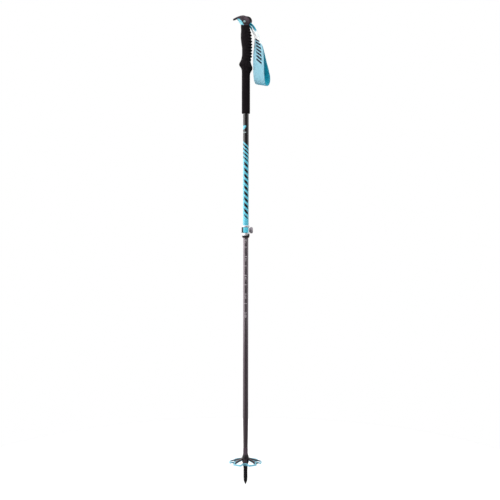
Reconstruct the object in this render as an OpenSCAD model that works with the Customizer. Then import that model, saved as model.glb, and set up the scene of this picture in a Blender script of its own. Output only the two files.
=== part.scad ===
// Trekking pole with a snow basket, a lever clamp and a grip with a wrist strap.
// It stands upright along Z with its steel tip at the origin. The beak of the head
// points to -X and the strap hangs on the +X side. The clamp's bolt lies on the +Y side.

/* [Length setting] */
// Overall length from the steel tip to the top of the head, as clamped
pole_length = 1248; // [1050:1:1440]

/* [Lower section] */
// Outer diameter of the lower tube
lower_od = 14; // [13.6:0.1:14.2]
// Wall thickness of the lower tube
lower_wall = 0.8; // [0.6:0.1:1]
// Height of the lower tube's top end above the tip
lower_top = 940; // [900:1:960]
// Height at which the lower tube starts to taper towards the ferrule
taper_z = 181; // [150:1:220]
// Outer diameter of the lower tube where it meets the ferrule
taper_end_d = 11.8; // [11.4:0.1:12]
// Height of the ferrule's top edge
ferrule_top = 98.5; // [94:0.5:104]
// Diameter of the ferrule where the basket turns
seat_d = 12; // [11.8:0.1:12.2]
// Diameter of the ferrule where a rubber tip cap is pushed on
cap_seat_d = 10.8; // [10.4:0.1:11]

/* [Basket] */
// Radius of the basket at the tip of a petal
basket_r = 43.5; // [40:0.5:48]
// Number of petals, and of arms between them
petals = 6; // [5:1:7]
// Radial width of the soft rim
rim_w = 3.6; // [3:0.1:4.5]
// Thickness of the basket's dome
dome_t = 3; // [2.4:0.1:3.6]
// Widest diameter of the hub
hub_d = 19; // [18:0.5:21]

/* [Upper section] */
// Outer diameter of the upper tube
upper_od = 16; // [15.9:0.1:16.2]
// Wall thickness of the upper tube
upper_wall = 0.8; // [0.7:0.1:0.9]
// Diameter of the straight lower part of the foam
foam_d = 22; // [21:0.5:24]
// Height of the foam's lower end
foam_bottom = 987; // [960:1:1020]

/* [Head] */
// Width of the head across the hand
head_w = 29; // [26:0.5:31]
// Diameter of the strap's cross pin
strap_pin_d = 4; // [3.5:0.1:4.5]
// Thickness of the wedge's tongue, which presses on the strap
tongue_t = 3; // [2.4:0.1:3.4]

/* [Strap] */
// Thickness of the webbing
webbing_t = 2.2; // [1.6:0.1:2.6]
// Width of the padded part of the strap
strap_w = 31; // [26:0.5:33]
// Width of the strap where it enters the head
strap_neck_w = 19; // [16:0.5:20]

/* [Clamp] */
// Outer diameter of the collar's two bands
collar_d = 20.4; // [20:0.1:21]
// Diameter of the waist that the lever lies in
waist_d = 18.6; // [18:0.1:18.8]
// Diameter of the tension bolt
bolt_d = 4.8; // [4.6:0.1:4.8]
// Diameter of the thumb nut
nut_d = 17; // [15:0.5:17]
// Number of grip flutes around the thumb nut
nut_flutes = 18; // [12:1:22]
// Width of the slit that lets the collar close
slit_w = 2; // [1.6:0.1:2.2]

/* [Hidden] */
$fn = 96;

// The upper section's heights hold at this length; all of it moves with the set length
base_length = 1248;
up = pole_length - base_length;

lower_r = lower_od / 2;
lower_inner_r = lower_r - lower_wall;
upper_r = upper_od / 2;
upper_inner_r = upper_r - upper_wall;
running = 0.05;      // radial clearance of a running fit
glue = 0.03;         // radial clearance of a glued fit
past = 1;            // how far a cut runs past the face it opens

// ---------- helpers ----------

// Cylinder on the pole's axis between two heights
module rod(z0, z1, r) {
    translate([0, 0, z0]) cylinder(h = z1 - z0, r = r);
}

// Cylinder along Y, centred on a point
module cross_rod(centre, length, r) {
    translate(centre) rotate([90, 0, 0]) cylinder(h = length, r = r, center = true);
}

// Side profile of [x, z] points, extruded across Y to more than the head's width
module side(outline) {
    rotate([90, 0, 0]) linear_extrude(height = 60, center = true) polygon(outline);
}

// Closed outline from [x, half width] stations, symmetric about the X axis
function mirrored(stations) = concat(
    [for (s = stations) [s.x, -s.y]],
    [for (i = [len(stations) - 1:-1:0]) stations[i]]);

// Ring sector in plan, between two azimuths, made of straight cuts on true circles
module sector(inner_r, outer_r, from, to) {
    reach = outer_r * 1.6;
    steps = ceil((to - from) / 40);
    cuts = [for (i = [0:steps]) let (a = from + (to - from) * i / steps) reach * [cos(a), sin(a)]];
    intersection() {
        difference() {
            circle(r = outer_r);
            circle(r = inner_r);
        }
        polygon(concat([[0, 0]], cuts));
    }
}

// ---------- lower section ----------

shank_r = 3;             // shank of the steel tip
shank_top = 32;
seat_r = seat_d / 2;
cap_seat_r = cap_seat_d / 2;
taper_end_r = taper_end_d / 2;
tube_foot = 58;          // lower end of the lower tube, inside the ferrule
tube_foot_r = 4.75;
ferrule_mouth_r = 5.2;   // lower tube at the ferrule's top edge
hub_z0 = 57;
hub_z1 = 79;

module steel_tip() {
    color([0.33, 0.33, 0.34])
    rotate_extrude() polygon([
        [0, 0], [0.9, 1.2], [3.9, 8.0], [4.4, 9.35], [shank_r, 9.35],
        [shank_r, shank_top - 1], [2.4, shank_top], [0, shank_top]]);
}

module tip_ferrule() {
    color([0.10, 0.09, 0.10])
    difference() {
        union() {
            rotate_extrude() polygon([
                [0, 9.4], [4.55, 9.4], [4.8, 12], [cap_seat_r, 20], [cap_seat_r, 40],
                [5.6, 44], [seat_r, 50], [seat_r, hub_z1 + 0.1], [7.0, hub_z1 + 0.1],
                [6.95, hub_z1 + 0.9], [6.2, hub_z1 + 4], [6.1, ferrule_top - 1.5],
                [taper_end_r, ferrule_top], [0, ferrule_top]]);
            // the two bayonet lugs that hold the basket up against the shoulder
            intersection() {
                rod(54.6, 56.7, 6.6);
                translate([-8, -2.3, 54]) cube([16, 4.6, 4]);
            }
        }
        // seat of the tapered end of the tube
        rotate_extrude() polygon([
            [0, tube_foot - 0.1], [tube_foot_r + glue, tube_foot - 0.1],
            [ferrule_mouth_r + glue, ferrule_top], [ferrule_mouth_r + glue, ferrule_top + past],
            [0, ferrule_top + past]]);
        // pocket of the steel tip's shank
        rod(9, shank_top + 0.1, shank_r + glue);
    }
}

module lower_tube() {
    color([0.30, 0.29, 0.30])
    rotate_extrude() polygon([
        // outside, downwards
        [lower_r, lower_top], [lower_r, taper_z], [taper_end_r, ferrule_top + 0.6],
        [ferrule_mouth_r, ferrule_top + 0.05], [tube_foot_r, tube_foot],
        // bore, upwards
        [tube_foot_r - 0.8, tube_foot], [4.35, ferrule_top],
        [taper_end_r - lower_wall, ferrule_top + 3],
        [lower_inner_r, taper_z + 2], [lower_inner_r, lower_top]]);
}

// Plug glued into the lower tube, with a guide that runs inside the upper one
module guide_plug() {
    guide_r = upper_inner_r - running;
    guide_top = lower_top + 20.1;
    color([0.85, 0.85, 0.83])
    difference() {
        union() {
            rod(lower_top - 26, lower_top + 1, lower_inner_r - glue);
            rod(lower_top + 0.1, guide_top, guide_r);
            translate([0, 0, guide_top]) cylinder(h = 2, r1 = guide_r, r2 = upper_inner_r - 1);
        }
        rod(lower_top - 30, lower_top + 30, 3.6);
    }
}

// ---------- basket ----------

notch_r = 8.5;     // notch between two petals
rim_proud = 1;     // height of the rim's top above the arms
keel_t = 2.4;      // depth of the keels below the dome

// Top surface of the dome at a basket radius of 43.5: radius, height
dome_top = [[7, 72.0], [12, 69.5], [16, 67.9], [25, 64.8], [34, 62.3], [46, 59.2]];

// Half outline of an arm, which leaves the hub as one leg and widens around the
// notch towards two petal corners: distance from the axis, half width
arm_edge = [[6.6, 4.6], [19, 4], [25, 5], [30, 7.6], [34, 10.6], [38, 13.2], [41, 15.4]];

// Half outline of the soft keel under each arm, in the same columns
keel_edge = [[9.9, 3], [20, 2.8], [27, 4.2], [33, 6]];

// Shell of the dome between two depths below its top surface
module dome(from, to) {
    stretch = basket_r / 43.5;
    rotate_extrude() polygon(concat(
        [for (p = dome_top) [p.x * stretch, p.y - from]],
        [for (i = [len(dome_top) - 1:-1:0]) [dome_top[i].x * stretch, dome_top[i].y - to]]));
}

// The part of that shell over a plan outline
module dome_part(from, to) {
    intersection() {
        dome(from, to);
        translate([0, 0, 40]) linear_extrude(height = 50) children();
    }
}

// Repeats a plan shape at each arm, which is also the middle of a notch
module at_arms() {
    for (k = [0:petals - 1]) rotate(27.7 + k * 360 / petals) children();
}

module petal_outline(inset) {
    difference() {
        circle(r = basket_r - inset);
        at_arms() translate([basket_r - 0.5, 0]) circle(r = notch_r + inset);
    }
}

module keel_plan() {
    at_arms() polygon(mirrored(keel_edge));
}

module rim_plan() {
    difference() {
        petal_outline(0);
        petal_outline(rim_w);
    }
}

module basket_hub() {
    color([0.13, 0.11, 0.13])
    difference() {
        union() {
            rotate_extrude() polygon([
                [0, hub_z0], [7.5, hub_z0], [8.7, 60], [hub_d / 2, 64], [hub_d / 2, 70],
                [9.1, 73.2], [7.6, 77.8], [7.1, hub_z1], [0, hub_z1]]);
            dome_part(0, dome_t) intersection() {
                petal_outline(rim_w);
                at_arms() polygon(mirrored(arm_edge));
            }
        }
        translate([0, 0, hub_z0 - past]) cylinder(h = 30, r = seat_r + running);
        // bayonet slots, a quarter turn away from the ferrule's lugs
        intersection() {
            translate([0, 0, hub_z0 - past]) cylinder(h = 30, r = 6.75);
            translate([-2.6, -8, hub_z0 - past]) cube([5.2, 16, 30]);
        }
        // round dimple on the -Y side of the hub
        translate([0, -hub_d / 2 - 0.9, 72.6]) rotate([-90, 0, 0]) cylinder(h = 1.9, r = 2);
    }
}

module basket_rim() {
    color([0.56, 0.80, 0.87])
    union() {
        dome_part(-rim_proud, dome_t) rim_plan();
        dome_part(dome_t, dome_t + keel_t) intersection() {
            petal_outline(0);
            keel_plan();
        }
        // where a keel passes under the rim the two are one
        dome_part(1, dome_t + keel_t) intersection() {
            rim_plan();
            keel_plan();
        }
    }
}

// ---------- upper section ----------

tube_end_z = 668;         // lower end of the upper tube, inside the collar
tube_top = 1214;
head_z = 1219.5;          // underside of the head
sleeve_z = 1165;          // lower end of the head's sleeve
sleeve_r = 9.4;
mouth = [11.5, 0, 1222.5];   // centre of the strap mouth
slit_x = 3.2;             // slits of the tube and the collar, on the +Y side

// Round sections of the foam, downwards: height, edge on the -X side, edge on the +X side
foam_straight_z = 1093;
foam_sections = [
    [1219.4, -12.6, 10.8], [1190, -13.1, 14.9], [1166, -10.7, 15.4], [1144, -10.3, 14.4],
    [1131, -12.8, 13.2], [1118, -17.9, 14.4], [1104, -11.2, 16.8],
    [foam_straight_z, -foam_d / 2, foam_d / 2]];

module upper_tube() {
    tube_slit_w = 1.4;
    color([0.38, 0.78, 0.85])
    translate([0, 0, up])
    difference() {
        rod(tube_end_z, tube_top, upper_r);
        rod(tube_end_z - past, tube_top + past, upper_inner_r);
        // relief slit inside the collar
        translate([slit_x - tube_slit_w / 2, 0, tube_end_z - past]) cube([tube_slit_w, 20, 24]);
    }
}

module tube_top_plug() {
    plug_r = upper_inner_r - glue;
    color([0.85, 0.85, 0.83])
    translate([0, 0, up])
    difference() {
        union() {
            rod(tube_top - 26, tube_top, plug_r);
            // flange over the tube's end, and the core that joins it to the plug
            rod(tube_top + 0.05, tube_top + 1.45, upper_r - 0.3);
            rod(tube_top - 1, tube_top + 1, plug_r);
        }
        rod(tube_top - 30, tube_top - 4, 5.2);
    }
}

module foam_disc(section) {
    thickness = 0.1;
    translate([(section[1] + section[2]) / 2, 0, section[0] - thickness / 2])
        cylinder(h = thickness, r = (section[2] - section[1]) / 2, $fn = 32);
}

module grip_foam() {
    chamfer_h = 2;
    color([0.13, 0.11, 0.12])
    translate([0, 0, up])
    difference() {
        union() {
            for (i = [0:len(foam_sections) - 2]) hull() {
                foam_disc(foam_sections[i]);
                foam_disc(foam_sections[i + 1]);
            }
            rod(foam_bottom + chamfer_h, foam_straight_z + 0.04, foam_d / 2);
            translate([0, 0, foam_bottom])
                cylinder(h = chamfer_h + 0.01, r1 = foam_d / 2 - 1.2, r2 = foam_d / 2);
        }
        // bores for the tube and the head's sleeve, and room around the strap mouth
        translate([0, 0, foam_bottom - past]) cylinder(h = 300, r = upper_r + glue);
        translate([0, 0, sleeve_z - 0.1]) cylinder(h = 100, r = sleeve_r + glue);
        cross_rod(mouth, 40, 6.1);
    }
}

// ---------- head ----------

pin_centre = [-2.4, 0, 1230];
pin_cap_r = 3.35;
mouth_w = 21;        // width of the strap mouth and its channel across Y
tongue_w = 14;
tongue_len = 11;

// Side outlines: X, Z
head_side = [
    [-33.8, 1236.2], [-33.6, 1238.3], [-28, 1241.2], [-22.1, 1243.8], [-13.3, 1246.8],
    [-7, 1248], [-2, 1247.2], [3, 1245.5], [9.1, 1244.6], [14.5, 1241.2], [17.1, 1235.6],
    [17.5, 1232.2], [15.2, 1227], [9.6, head_z], [-12.8, head_z], [-13.3, 1224.9],
    [-15.2, 1228.9], [-18.1, 1234.3], [-21.3, 1238.2], [-25, 1238.6], [-28.8, 1236.4]];

throat_side = [
    [-25.6, 1238.0], [-22, 1240.4], [-14.6, 1239.9], [-10.7, 1236.4], [-7.7, 1231.6],
    [-5.1, 1226.3], [-3.6, 1223], [-5.9, head_z - 0.2], [-12.9, head_z - 0.2],
    [-14, 1224.9], [-16, 1229], [-19, 1234.2], [-21.8, 1237.3]];

// Outer band on the +X side of the head, which the wedge fills across its whole width
wedge_side = [
    [3.0, 1245.5], [9.1, 1244.6], [14.5, 1241.2], [17.1, 1235.6], [17.5, 1232.2],
    [16.6, 1230.2], [12.9, 1231.6], [12.5, 1234.8], [10.4, 1238.2], [6.8, 1240.4],
    [2.6, 1241.1]];

// Seat that the wedge lies on, open along the way it lifts
wedge_seat_side = [
    [2.5, 1241.0], [2.5, 1250], [30, 1250], [30, 1229.5], [16.2, 1229.9],
    [12.8, 1231.3], [12.4, 1234.7], [10.3, 1238.1], [6.7, 1240.3]];

// Head in plan, from the beak's point to the +X end: X, half width
head_half = head_w / 2;
head_stations = [
    [-34, 3.2], [-28, 5.4], [-20, 8.6], [-12, head_half - 2.7], [-4, head_half - 0.4],
    [4, head_half], [11, head_half - 1], [15.4, head_half - 4], [17.6, head_half - 8]];

// Upright block with the head's plan outline
module head_block(inset) {
    translate([0, 0, head_z]) linear_extrude(height = 40)
        polygon(mirrored([for (s = head_stations) [s.x, s.y - inset]]));
}

// Tongue that runs from the wedge down towards the strap, along the direction it lifts
module wedge_tongue(grow, extra) {
    translate([9.6, 0, 1238.2]) rotate([0, 36.87, 0])
        translate([-tongue_t / 2 - grow, -tongue_w / 2 - grow, -tongue_len - grow])
            cube([tongue_t + 2 * grow, tongue_w + 2 * grow, tongue_len + 2 * grow + extra]);
}

module grip_head() {
    cap_seat_cut = 20;
    color([0.17, 0.15, 0.17])
    translate([0, 0, up])
    difference() {
        union() {
            intersection() {
                side(head_side);
                head_block(0);
            }
            rod(sleeve_z, head_z + 1, sleeve_r);
        }
        // socket of the tube and its plug
        rod(sleeve_z - past, tube_top + 1.6, upper_r + glue);
        side(throat_side);
        side(wedge_seat_side);
        wedge_tongue(0.12, 2);
        // strap mouth, and the channel from it to the pin
        cross_rod(mouth, mouth_w, 5.6);
        translate(mouth + [-1, 0, 0.5]) rotate([0, -52, 0])
            translate([-3, -mouth_w / 2, -1]) cube([6, mouth_w, 15]);
        // cross hole of the strap pin, with a seat for a cap at each side
        cross_rod(pin_centre, 60, strap_pin_d / 2 + glue);
        for (s = [-1, 1])
            cross_rod(pin_centre + [0, s * (head_half - 1.4 + cap_seat_cut / 2), 0],
                      cap_seat_cut, pin_cap_r + running);
    }
}

module throat_insert() {
    color([0.55, 0.90, 0.97])
    translate([0, 0, up])
    intersection() {
        side(throat_side);
        side(head_side);
        head_block(0.15);
    }
}

module strap_pin() {
    color([0.72, 0.73, 0.74])
    translate([0, 0, up]) cross_rod(pin_centre, head_w - 3.4, strap_pin_d / 2);
}

module strap_pin_caps() {
    color([0.62, 0.76, 0.78])
    translate([0, 0, up])
    for (s = [-1, 1]) cross_rod(pin_centre + [0, s * (head_half - 0.5), 0], 1.6, pin_cap_r);
}

module strap_wedge() {
    color([0.06, 0.06, 0.07])
    translate([0, 0, up])
    union() {
        intersection() {
            side(wedge_side);
            head_block(0);
        }
        // the tongue, cut off level inside the wedge
        intersection() {
            wedge_tongue(0, 1.5);
            translate([-20, -20, 1200]) cube([60, 40, 41.5]);
        }
    }
}

// ---------- wrist strap ----------

// Stations along the closed loop of webbing:
// X, Y, Z, turn of its width about Z, share of the way from neck to full width
strap_path = [
    [15.6, -0.5, 1215.2, 4, 0], [20.4, -1, 1209.3, 8, 0.03], [26.2, -2, 1200.6, 13, 0.1],
    [30, -3.2, 1190, 20, 0.25], [32.2, -4.8, 1178, 32, 0.5], [33.2, -7, 1166, 46, 0.75],
    [33.8, -9, 1152, 58, 0.93], [34.2, -10.3, 1136, 65, 1], [34.6, -11, 1112, 68, 1],
    [35.2, -11, 1088, 68, 1], [36.8, -8.6, 1071, 68, 1], [40.2, -1.5, 1063, 68, 1],
    [45, 8.5, 1065, 68, 1], [48.6, 16.5, 1075, 68, 1], [49.6, 19, 1088, 68, 1],
    [47.6, 15.6, 1104, 68, 1], [43.6, 9, 1124, 67, 1], [39.4, 3.6, 1146, 63, 0.95],
    [36, 0.6, 1168, 56, 0.8], [34, 2, 1182, 46, 0.6], [32, 3, 1194, 34, 0.35],
    [29.4, 2.6, 1205, 22, 0.15], [25.4, 1.5, 1214, 10, 0.04], [20.4, 0.6, 1220.2, 4, 0],
    [15.6, -0.5, 1215.2, 4, 0]];

module webbing_slice(station) {
    width = strap_neck_w + (strap_w - strap_neck_w) * station[4];
    translate([station[0], station[1], station[2]]) rotate([0, 0, station[3]])
        cube([webbing_t, width, webbing_t], center = true);
}

module wrist_strap() {
    color([0.57, 0.81, 0.89])
    translate([0, 0, up])
    for (i = [0:len(strap_path) - 2]) hull() {
        webbing_slice(strap_path[i]);
        webbing_slice(strap_path[i + 1]);
    }
}

// ---------- clamp ----------

// The bolt runs along X, beside the tube
clamp_z = 677;       // height of the bolt
bolt_y = 14;         // distance of the bolt from the tube's axis
bolt_r = bolt_d / 2;
bolt_end = 17.2;
eye_h = 4.8;         // height of the bolt's eye, around the lever pin
pin_x = -6.5;        // lever pin
pin_r = 2;
ear_x0 = -1.15;      // faces of the collar's ears
ear_x1 = 9;
ear_r = 6;
collar_r = collar_d / 2;
waist_r = waist_d / 2;
collar_z0 = 661.75;
collar_z1 = 689;
lever_z0 = clamp_z - 7;
lever_z1 = clamp_z + 7;
lever_inner_r = 9.6;
lever_outer_r = 11;
key_z = 666.3;       // top of the bushing's key, and the azimuths it spans
key_from = -62;
key_to = 20;

// Turns a shape's Z axis onto the bolt's axis, with its origin at x
module on_bolt(x) {
    translate([x, bolt_y, clamp_z]) rotate([0, 90, 0]) children();
}

module bolt_cyl(x0, x1, r) {
    on_bolt(x0) cylinder(h = x1 - x0, r = r);
}

module clamp_collar() {
    color([0.80, 0.82, 0.84])
    translate([0, 0, up])
    difference() {
        union() {
            rotate_extrude() polygon([
                [0, collar_z0], [collar_r - 0.5, collar_z0], [collar_r, collar_z0 + 0.5],
                [collar_r, lever_z0 - 1.3], [waist_r, lever_z0 - 0.6],
                [waist_r, lever_z1 + 0.4], [collar_r, lever_z1 + 1], [collar_r, collar_z1 - 1],
                [collar_r - 0.8, collar_z1], [0, collar_z1]]);
            // ears, rounded about the bolt
            intersection() {
                translate([0, 0, clamp_z - 10]) linear_extrude(height = 20) polygon([
                    [ear_x0, 7.5], [ear_x0, 22], [ear_x1, 22], [ear_x1, 5], [6.5, 5]]);
                union() {
                    bolt_cyl(-20, 20, ear_r);
                    translate([-20, 0, clamp_z - ear_r]) cube([40, bolt_y, 2 * ear_r]);
                }
            }
        }
        translate([0, 0, collar_z0 - past]) cylinder(h = 40, r = upper_r + glue);
        translate([slit_x - slit_w / 2, 0, collar_z0 - past]) cube([slit_w, 40, 40]);
        bolt_cyl(-20, 30, bolt_r + 0.2);
        // cut-out for the bushing's key
        translate([0, 0, collar_z0 - past])
            linear_extrude(height = key_z - collar_z0 + past + 0.05)
                sector(upper_r + 0.95, collar_d, key_from - 0.4, key_to + 0.4);
    }
}

module clamp_bushing() {
    bore_r = lower_r + running + 0.01;
    flange_top = collar_z0 - 0.05;
    sleeve_top = tube_end_z - 0.1;
    color([0.09, 0.08, 0.09])
    translate([0, 0, up])
    union() {
        rotate_extrude() polygon([
            [bore_r, 657.5], [7.6, 656.7], [8.6, 656.7], [9.9, 659.4], [9.9, flange_top],
            [upper_r - 0.02, flange_top], [upper_r - 0.02, sleeve_top], [bore_r, sleeve_top]]);
        // key that stops the bushing from turning in the collar
        translate([0, 0, collar_z0 - 1]) linear_extrude(height = key_z - collar_z0 + 1)
            sector(upper_r + 1, collar_r + 0.1, key_from, key_to);
    }
}

module tension_bolt() {
    color([0.70, 0.71, 0.73])
    translate([0, 0, up])
    difference() {
        union() {
            bolt_cyl(pin_x, bolt_end, bolt_r);
            translate([pin_x, bolt_y, clamp_z - eye_h / 2]) cylinder(h = eye_h, r = 3.5);
        }
        translate([pin_x, bolt_y, clamp_z - 10]) cylinder(h = 20, r = pin_r + glue);
    }
}

module lever_pin() {
    proud = 0.6;
    color([0.60, 0.61, 0.63])
    translate([pin_x, bolt_y, lever_z0 - proud + up])
        cylinder(h = lever_z1 - lever_z0 + 2 * proud, r = pin_r);
}

module cam_washer() {
    color([0.78, 0.66, 0.36])
    translate([0, 0, up])
    difference() {
        bolt_cyl(ear_x0 - 1, ear_x0 - 0.05, 4.6);
        bolt_cyl(-4, 2, bolt_r + 0.2);
    }
}

module lever_body() {
    slot_h = eye_h + 0.4;
    color([0.08, 0.09, 0.10])
    translate([0, 0, up])
    difference() {
        translate([0, 0, lever_z0]) linear_extrude(height = lever_z1 - lever_z0) difference() {
            union() {
                // cam, curved arm, and the web between them
                translate([pin_x + 0.5, bolt_y]) circle(r = 3.7);
                sector(lever_inner_r, lever_outer_r, 172, 293);
                polygon([[-9.7, 14], [-11, 6], [-11.05, 0], [-9.6, 0], [-9.3, 2.4],
                         [-8.7, 4.06], [-7.4, 7.4], [-5, 10.6]]);
            }
            circle(r = lever_inner_r);
            translate([pin_x, bolt_y]) circle(r = pin_r + running);
        }
        // slot between the two knuckles for the bolt's eye
        translate([pin_x, bolt_y, clamp_z - slot_h / 2]) cylinder(h = slot_h, r = 5.4);
    }
}

module lever_cover() {
    cover_r = 12;
    color([0.42, 0.80, 0.88])
    translate([0, 0, lever_z0 - 0.2 + up])
    linear_extrude(height = lever_z1 - lever_z0 + 0.3) union() {
        sector(lever_outer_r + 0.02, cover_r, 236, 303);
        // raised lip at the free end
        sector(cover_r - 0.1, cover_r + 0.7, 299, 303);
    }
}

module thrust_washer() {
    color([0.72, 0.73, 0.75])
    translate([0, 0, up])
    difference() {
        bolt_cyl(ear_x1 + 0.1, ear_x1 + 1, 5);
        bolt_cyl(ear_x1 - 1, ear_x1 + 3, bolt_r + 0.1);
    }
}

module thumb_nut() {
    nut_x = ear_x1 + 1.1;
    nut_r = nut_d / 2;
    color([0.50, 0.48, 0.50])
    translate([0, 0, up])
    difference() {
        on_bolt(nut_x) rotate_extrude() polygon([
            [0, 0], [nut_r - 2.2, 0], [nut_r - 2, 1.2], [nut_r, 1.8], [nut_r, 6.6],
            [nut_r - 0.8, 8], [nut_r - 2.6, 8.9], [0, 9.2]]);
        on_bolt(nut_x + 1.2) for (i = [0:nut_flutes - 1]) rotate([0, 0, i * 360 / nut_flutes])
            translate([nut_r + 0.45, 0, 0]) cylinder(h = 20, r = 0.9, $fn = 24);
        bolt_cyl(nut_x - past, bolt_end + 0.8, bolt_r + running);
    }
}

steel_tip();
tip_ferrule();
basket_hub();
basket_rim();
lower_tube();
guide_plug();
upper_tube();
tube_top_plug();
grip_foam();
grip_head();
throat_insert();
strap_pin();
strap_pin_caps();
strap_wedge();
wrist_strap();
clamp_collar();
clamp_bushing();
tension_bolt();
lever_pin();
cam_washer();
lever_body();
lever_cover();
thrust_washer();
thumb_nut();
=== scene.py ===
"""A hiking pole that stands upright on its tip, on a round studio floor.

The pole's axis is Z and the tip is at z = 0. The beak of the grip's head points along -X, the
wrist strap hangs on the +X side, and the camera looks along +Y. Lengths are in millimetres and
are turned into metres where meshes are made. Camera, lamp and world are in metres.
"""

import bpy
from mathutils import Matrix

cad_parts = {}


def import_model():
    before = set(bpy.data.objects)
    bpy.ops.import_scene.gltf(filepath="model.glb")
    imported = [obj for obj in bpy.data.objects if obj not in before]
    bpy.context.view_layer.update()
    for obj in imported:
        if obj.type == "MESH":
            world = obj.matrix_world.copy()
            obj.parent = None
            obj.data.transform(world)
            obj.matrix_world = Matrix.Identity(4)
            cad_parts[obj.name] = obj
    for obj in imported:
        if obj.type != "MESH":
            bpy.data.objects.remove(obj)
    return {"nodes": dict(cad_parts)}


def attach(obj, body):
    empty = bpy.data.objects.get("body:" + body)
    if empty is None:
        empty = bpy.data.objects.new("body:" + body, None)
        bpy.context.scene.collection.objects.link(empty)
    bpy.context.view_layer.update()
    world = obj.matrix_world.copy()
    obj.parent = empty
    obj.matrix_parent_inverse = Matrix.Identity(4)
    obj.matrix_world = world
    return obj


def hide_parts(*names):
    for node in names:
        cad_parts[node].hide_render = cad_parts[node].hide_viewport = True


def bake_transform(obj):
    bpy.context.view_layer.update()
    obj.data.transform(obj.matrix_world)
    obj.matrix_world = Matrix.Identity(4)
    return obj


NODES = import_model()["nodes"]
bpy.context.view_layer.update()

import math
from functools import cached_property

import bpy
import bmesh
import numpy as np
from mathutils import Vector
from mathutils.geometry import delaunay_2d_cdt

MM = 0.001
scene = bpy.context.scene

# Sizes that several pieces share
PIN = (-3.9, 1229.3)            # x, z of the strap pin
UPPER_TUBE_R = 8.0
LOWER_TUBE_R = 7.0
HEAD_FOOT = 1219.5              # z of the head's flat underside
SLEEVE_BOTTOM = 1165.0          # the head's sleeve inside the foam
SLEEVE_R = 9.4
SCALE_FIRST = 105               # lowest number on the length scale, in centimetres
SCALE_LAST = 145
SCALE_STEP = 5
SCALE_FIRST_Z = 456.7           # z of its mark


# ------------------------------------------------------------------ node maths

def srgb(colour):
    """Linear RGBA of an sRGB colour whose parts run from 0 to 255."""
    def linear(part):
        part /= 255.0
        return part / 12.92 if part <= 0.04045 else ((part + 0.055) / 1.055) ** 2.4
    return (*map(linear, colour), 1.0)


def operator(kind, swap=False):
    """A method that puts a value, and any other operand, through a Math node."""
    def method(*operands):
        return operands[0].net.math(kind, *(operands[::-1] if swap else operands))
    return method


class Val:
    """A node output that can be used in sums and shaped."""
    __add__ = __radd__ = operator("ADD")
    __sub__ = operator("SUBTRACT")
    __rsub__ = operator("SUBTRACT", swap=True)
    __mul__ = __rmul__ = operator("MULTIPLY")
    __truediv__ = operator("DIVIDE")
    sin = operator("SINE")
    sqrt = operator("SQRT")
    abs = operator("ABSOLUTE")
    fract = operator("FRACT")
    floor = operator("FLOOR")
    pow = operator("POWER")
    max = operator("MAXIMUM")

    def __init__(self, net, socket):
        self.net = net
        self.socket = socket

    def __neg__(self):
        return self * -1.0

    def clamp(self):
        return self.net.math("ADD", self, 0.0, clamp=True)

    def step(self, off, on):
        """A smooth change from 0 where the value is off to 1 where it is on."""
        node = self.net.new("ShaderNodeMapRange", interpolation_type="SMOOTHSTEP")
        self.net.put(node.inputs["Value"], self)
        node.inputs["From Min"].default_value = off
        node.inputs["From Max"].default_value = on
        return Val(self.net, node.outputs["Result"])

    def band(self, low, high, soft=0.12):
        """1 between low and high, with soft edges."""
        return self.step(low - soft, low + soft) * self.step(high + soft, high - soft)

    def mix(self, to, by):
        return self.net.mix(self, to, by)

    def tones(self, dark, light, off=0.3, on=0.7):
        """The dark colour where the value is off, the light one where it is on."""
        return self.net.mix(dark, light, by=self.step(off, on))


def hypot(across, along):
    return (across * across + along * along).sqrt()


def distance(x, z, centre):
    """Distance in the XZ plane from a centre."""
    cx, cz = centre
    return ((x - cx) * (x - cx) + (z - cz) * (z - cz)).sqrt()


def bearing(x, y):
    """Angle about Z: 0 towards -Y, positive towards +X."""
    return x.net.math("ARCTAN2", x, -y)


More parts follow.
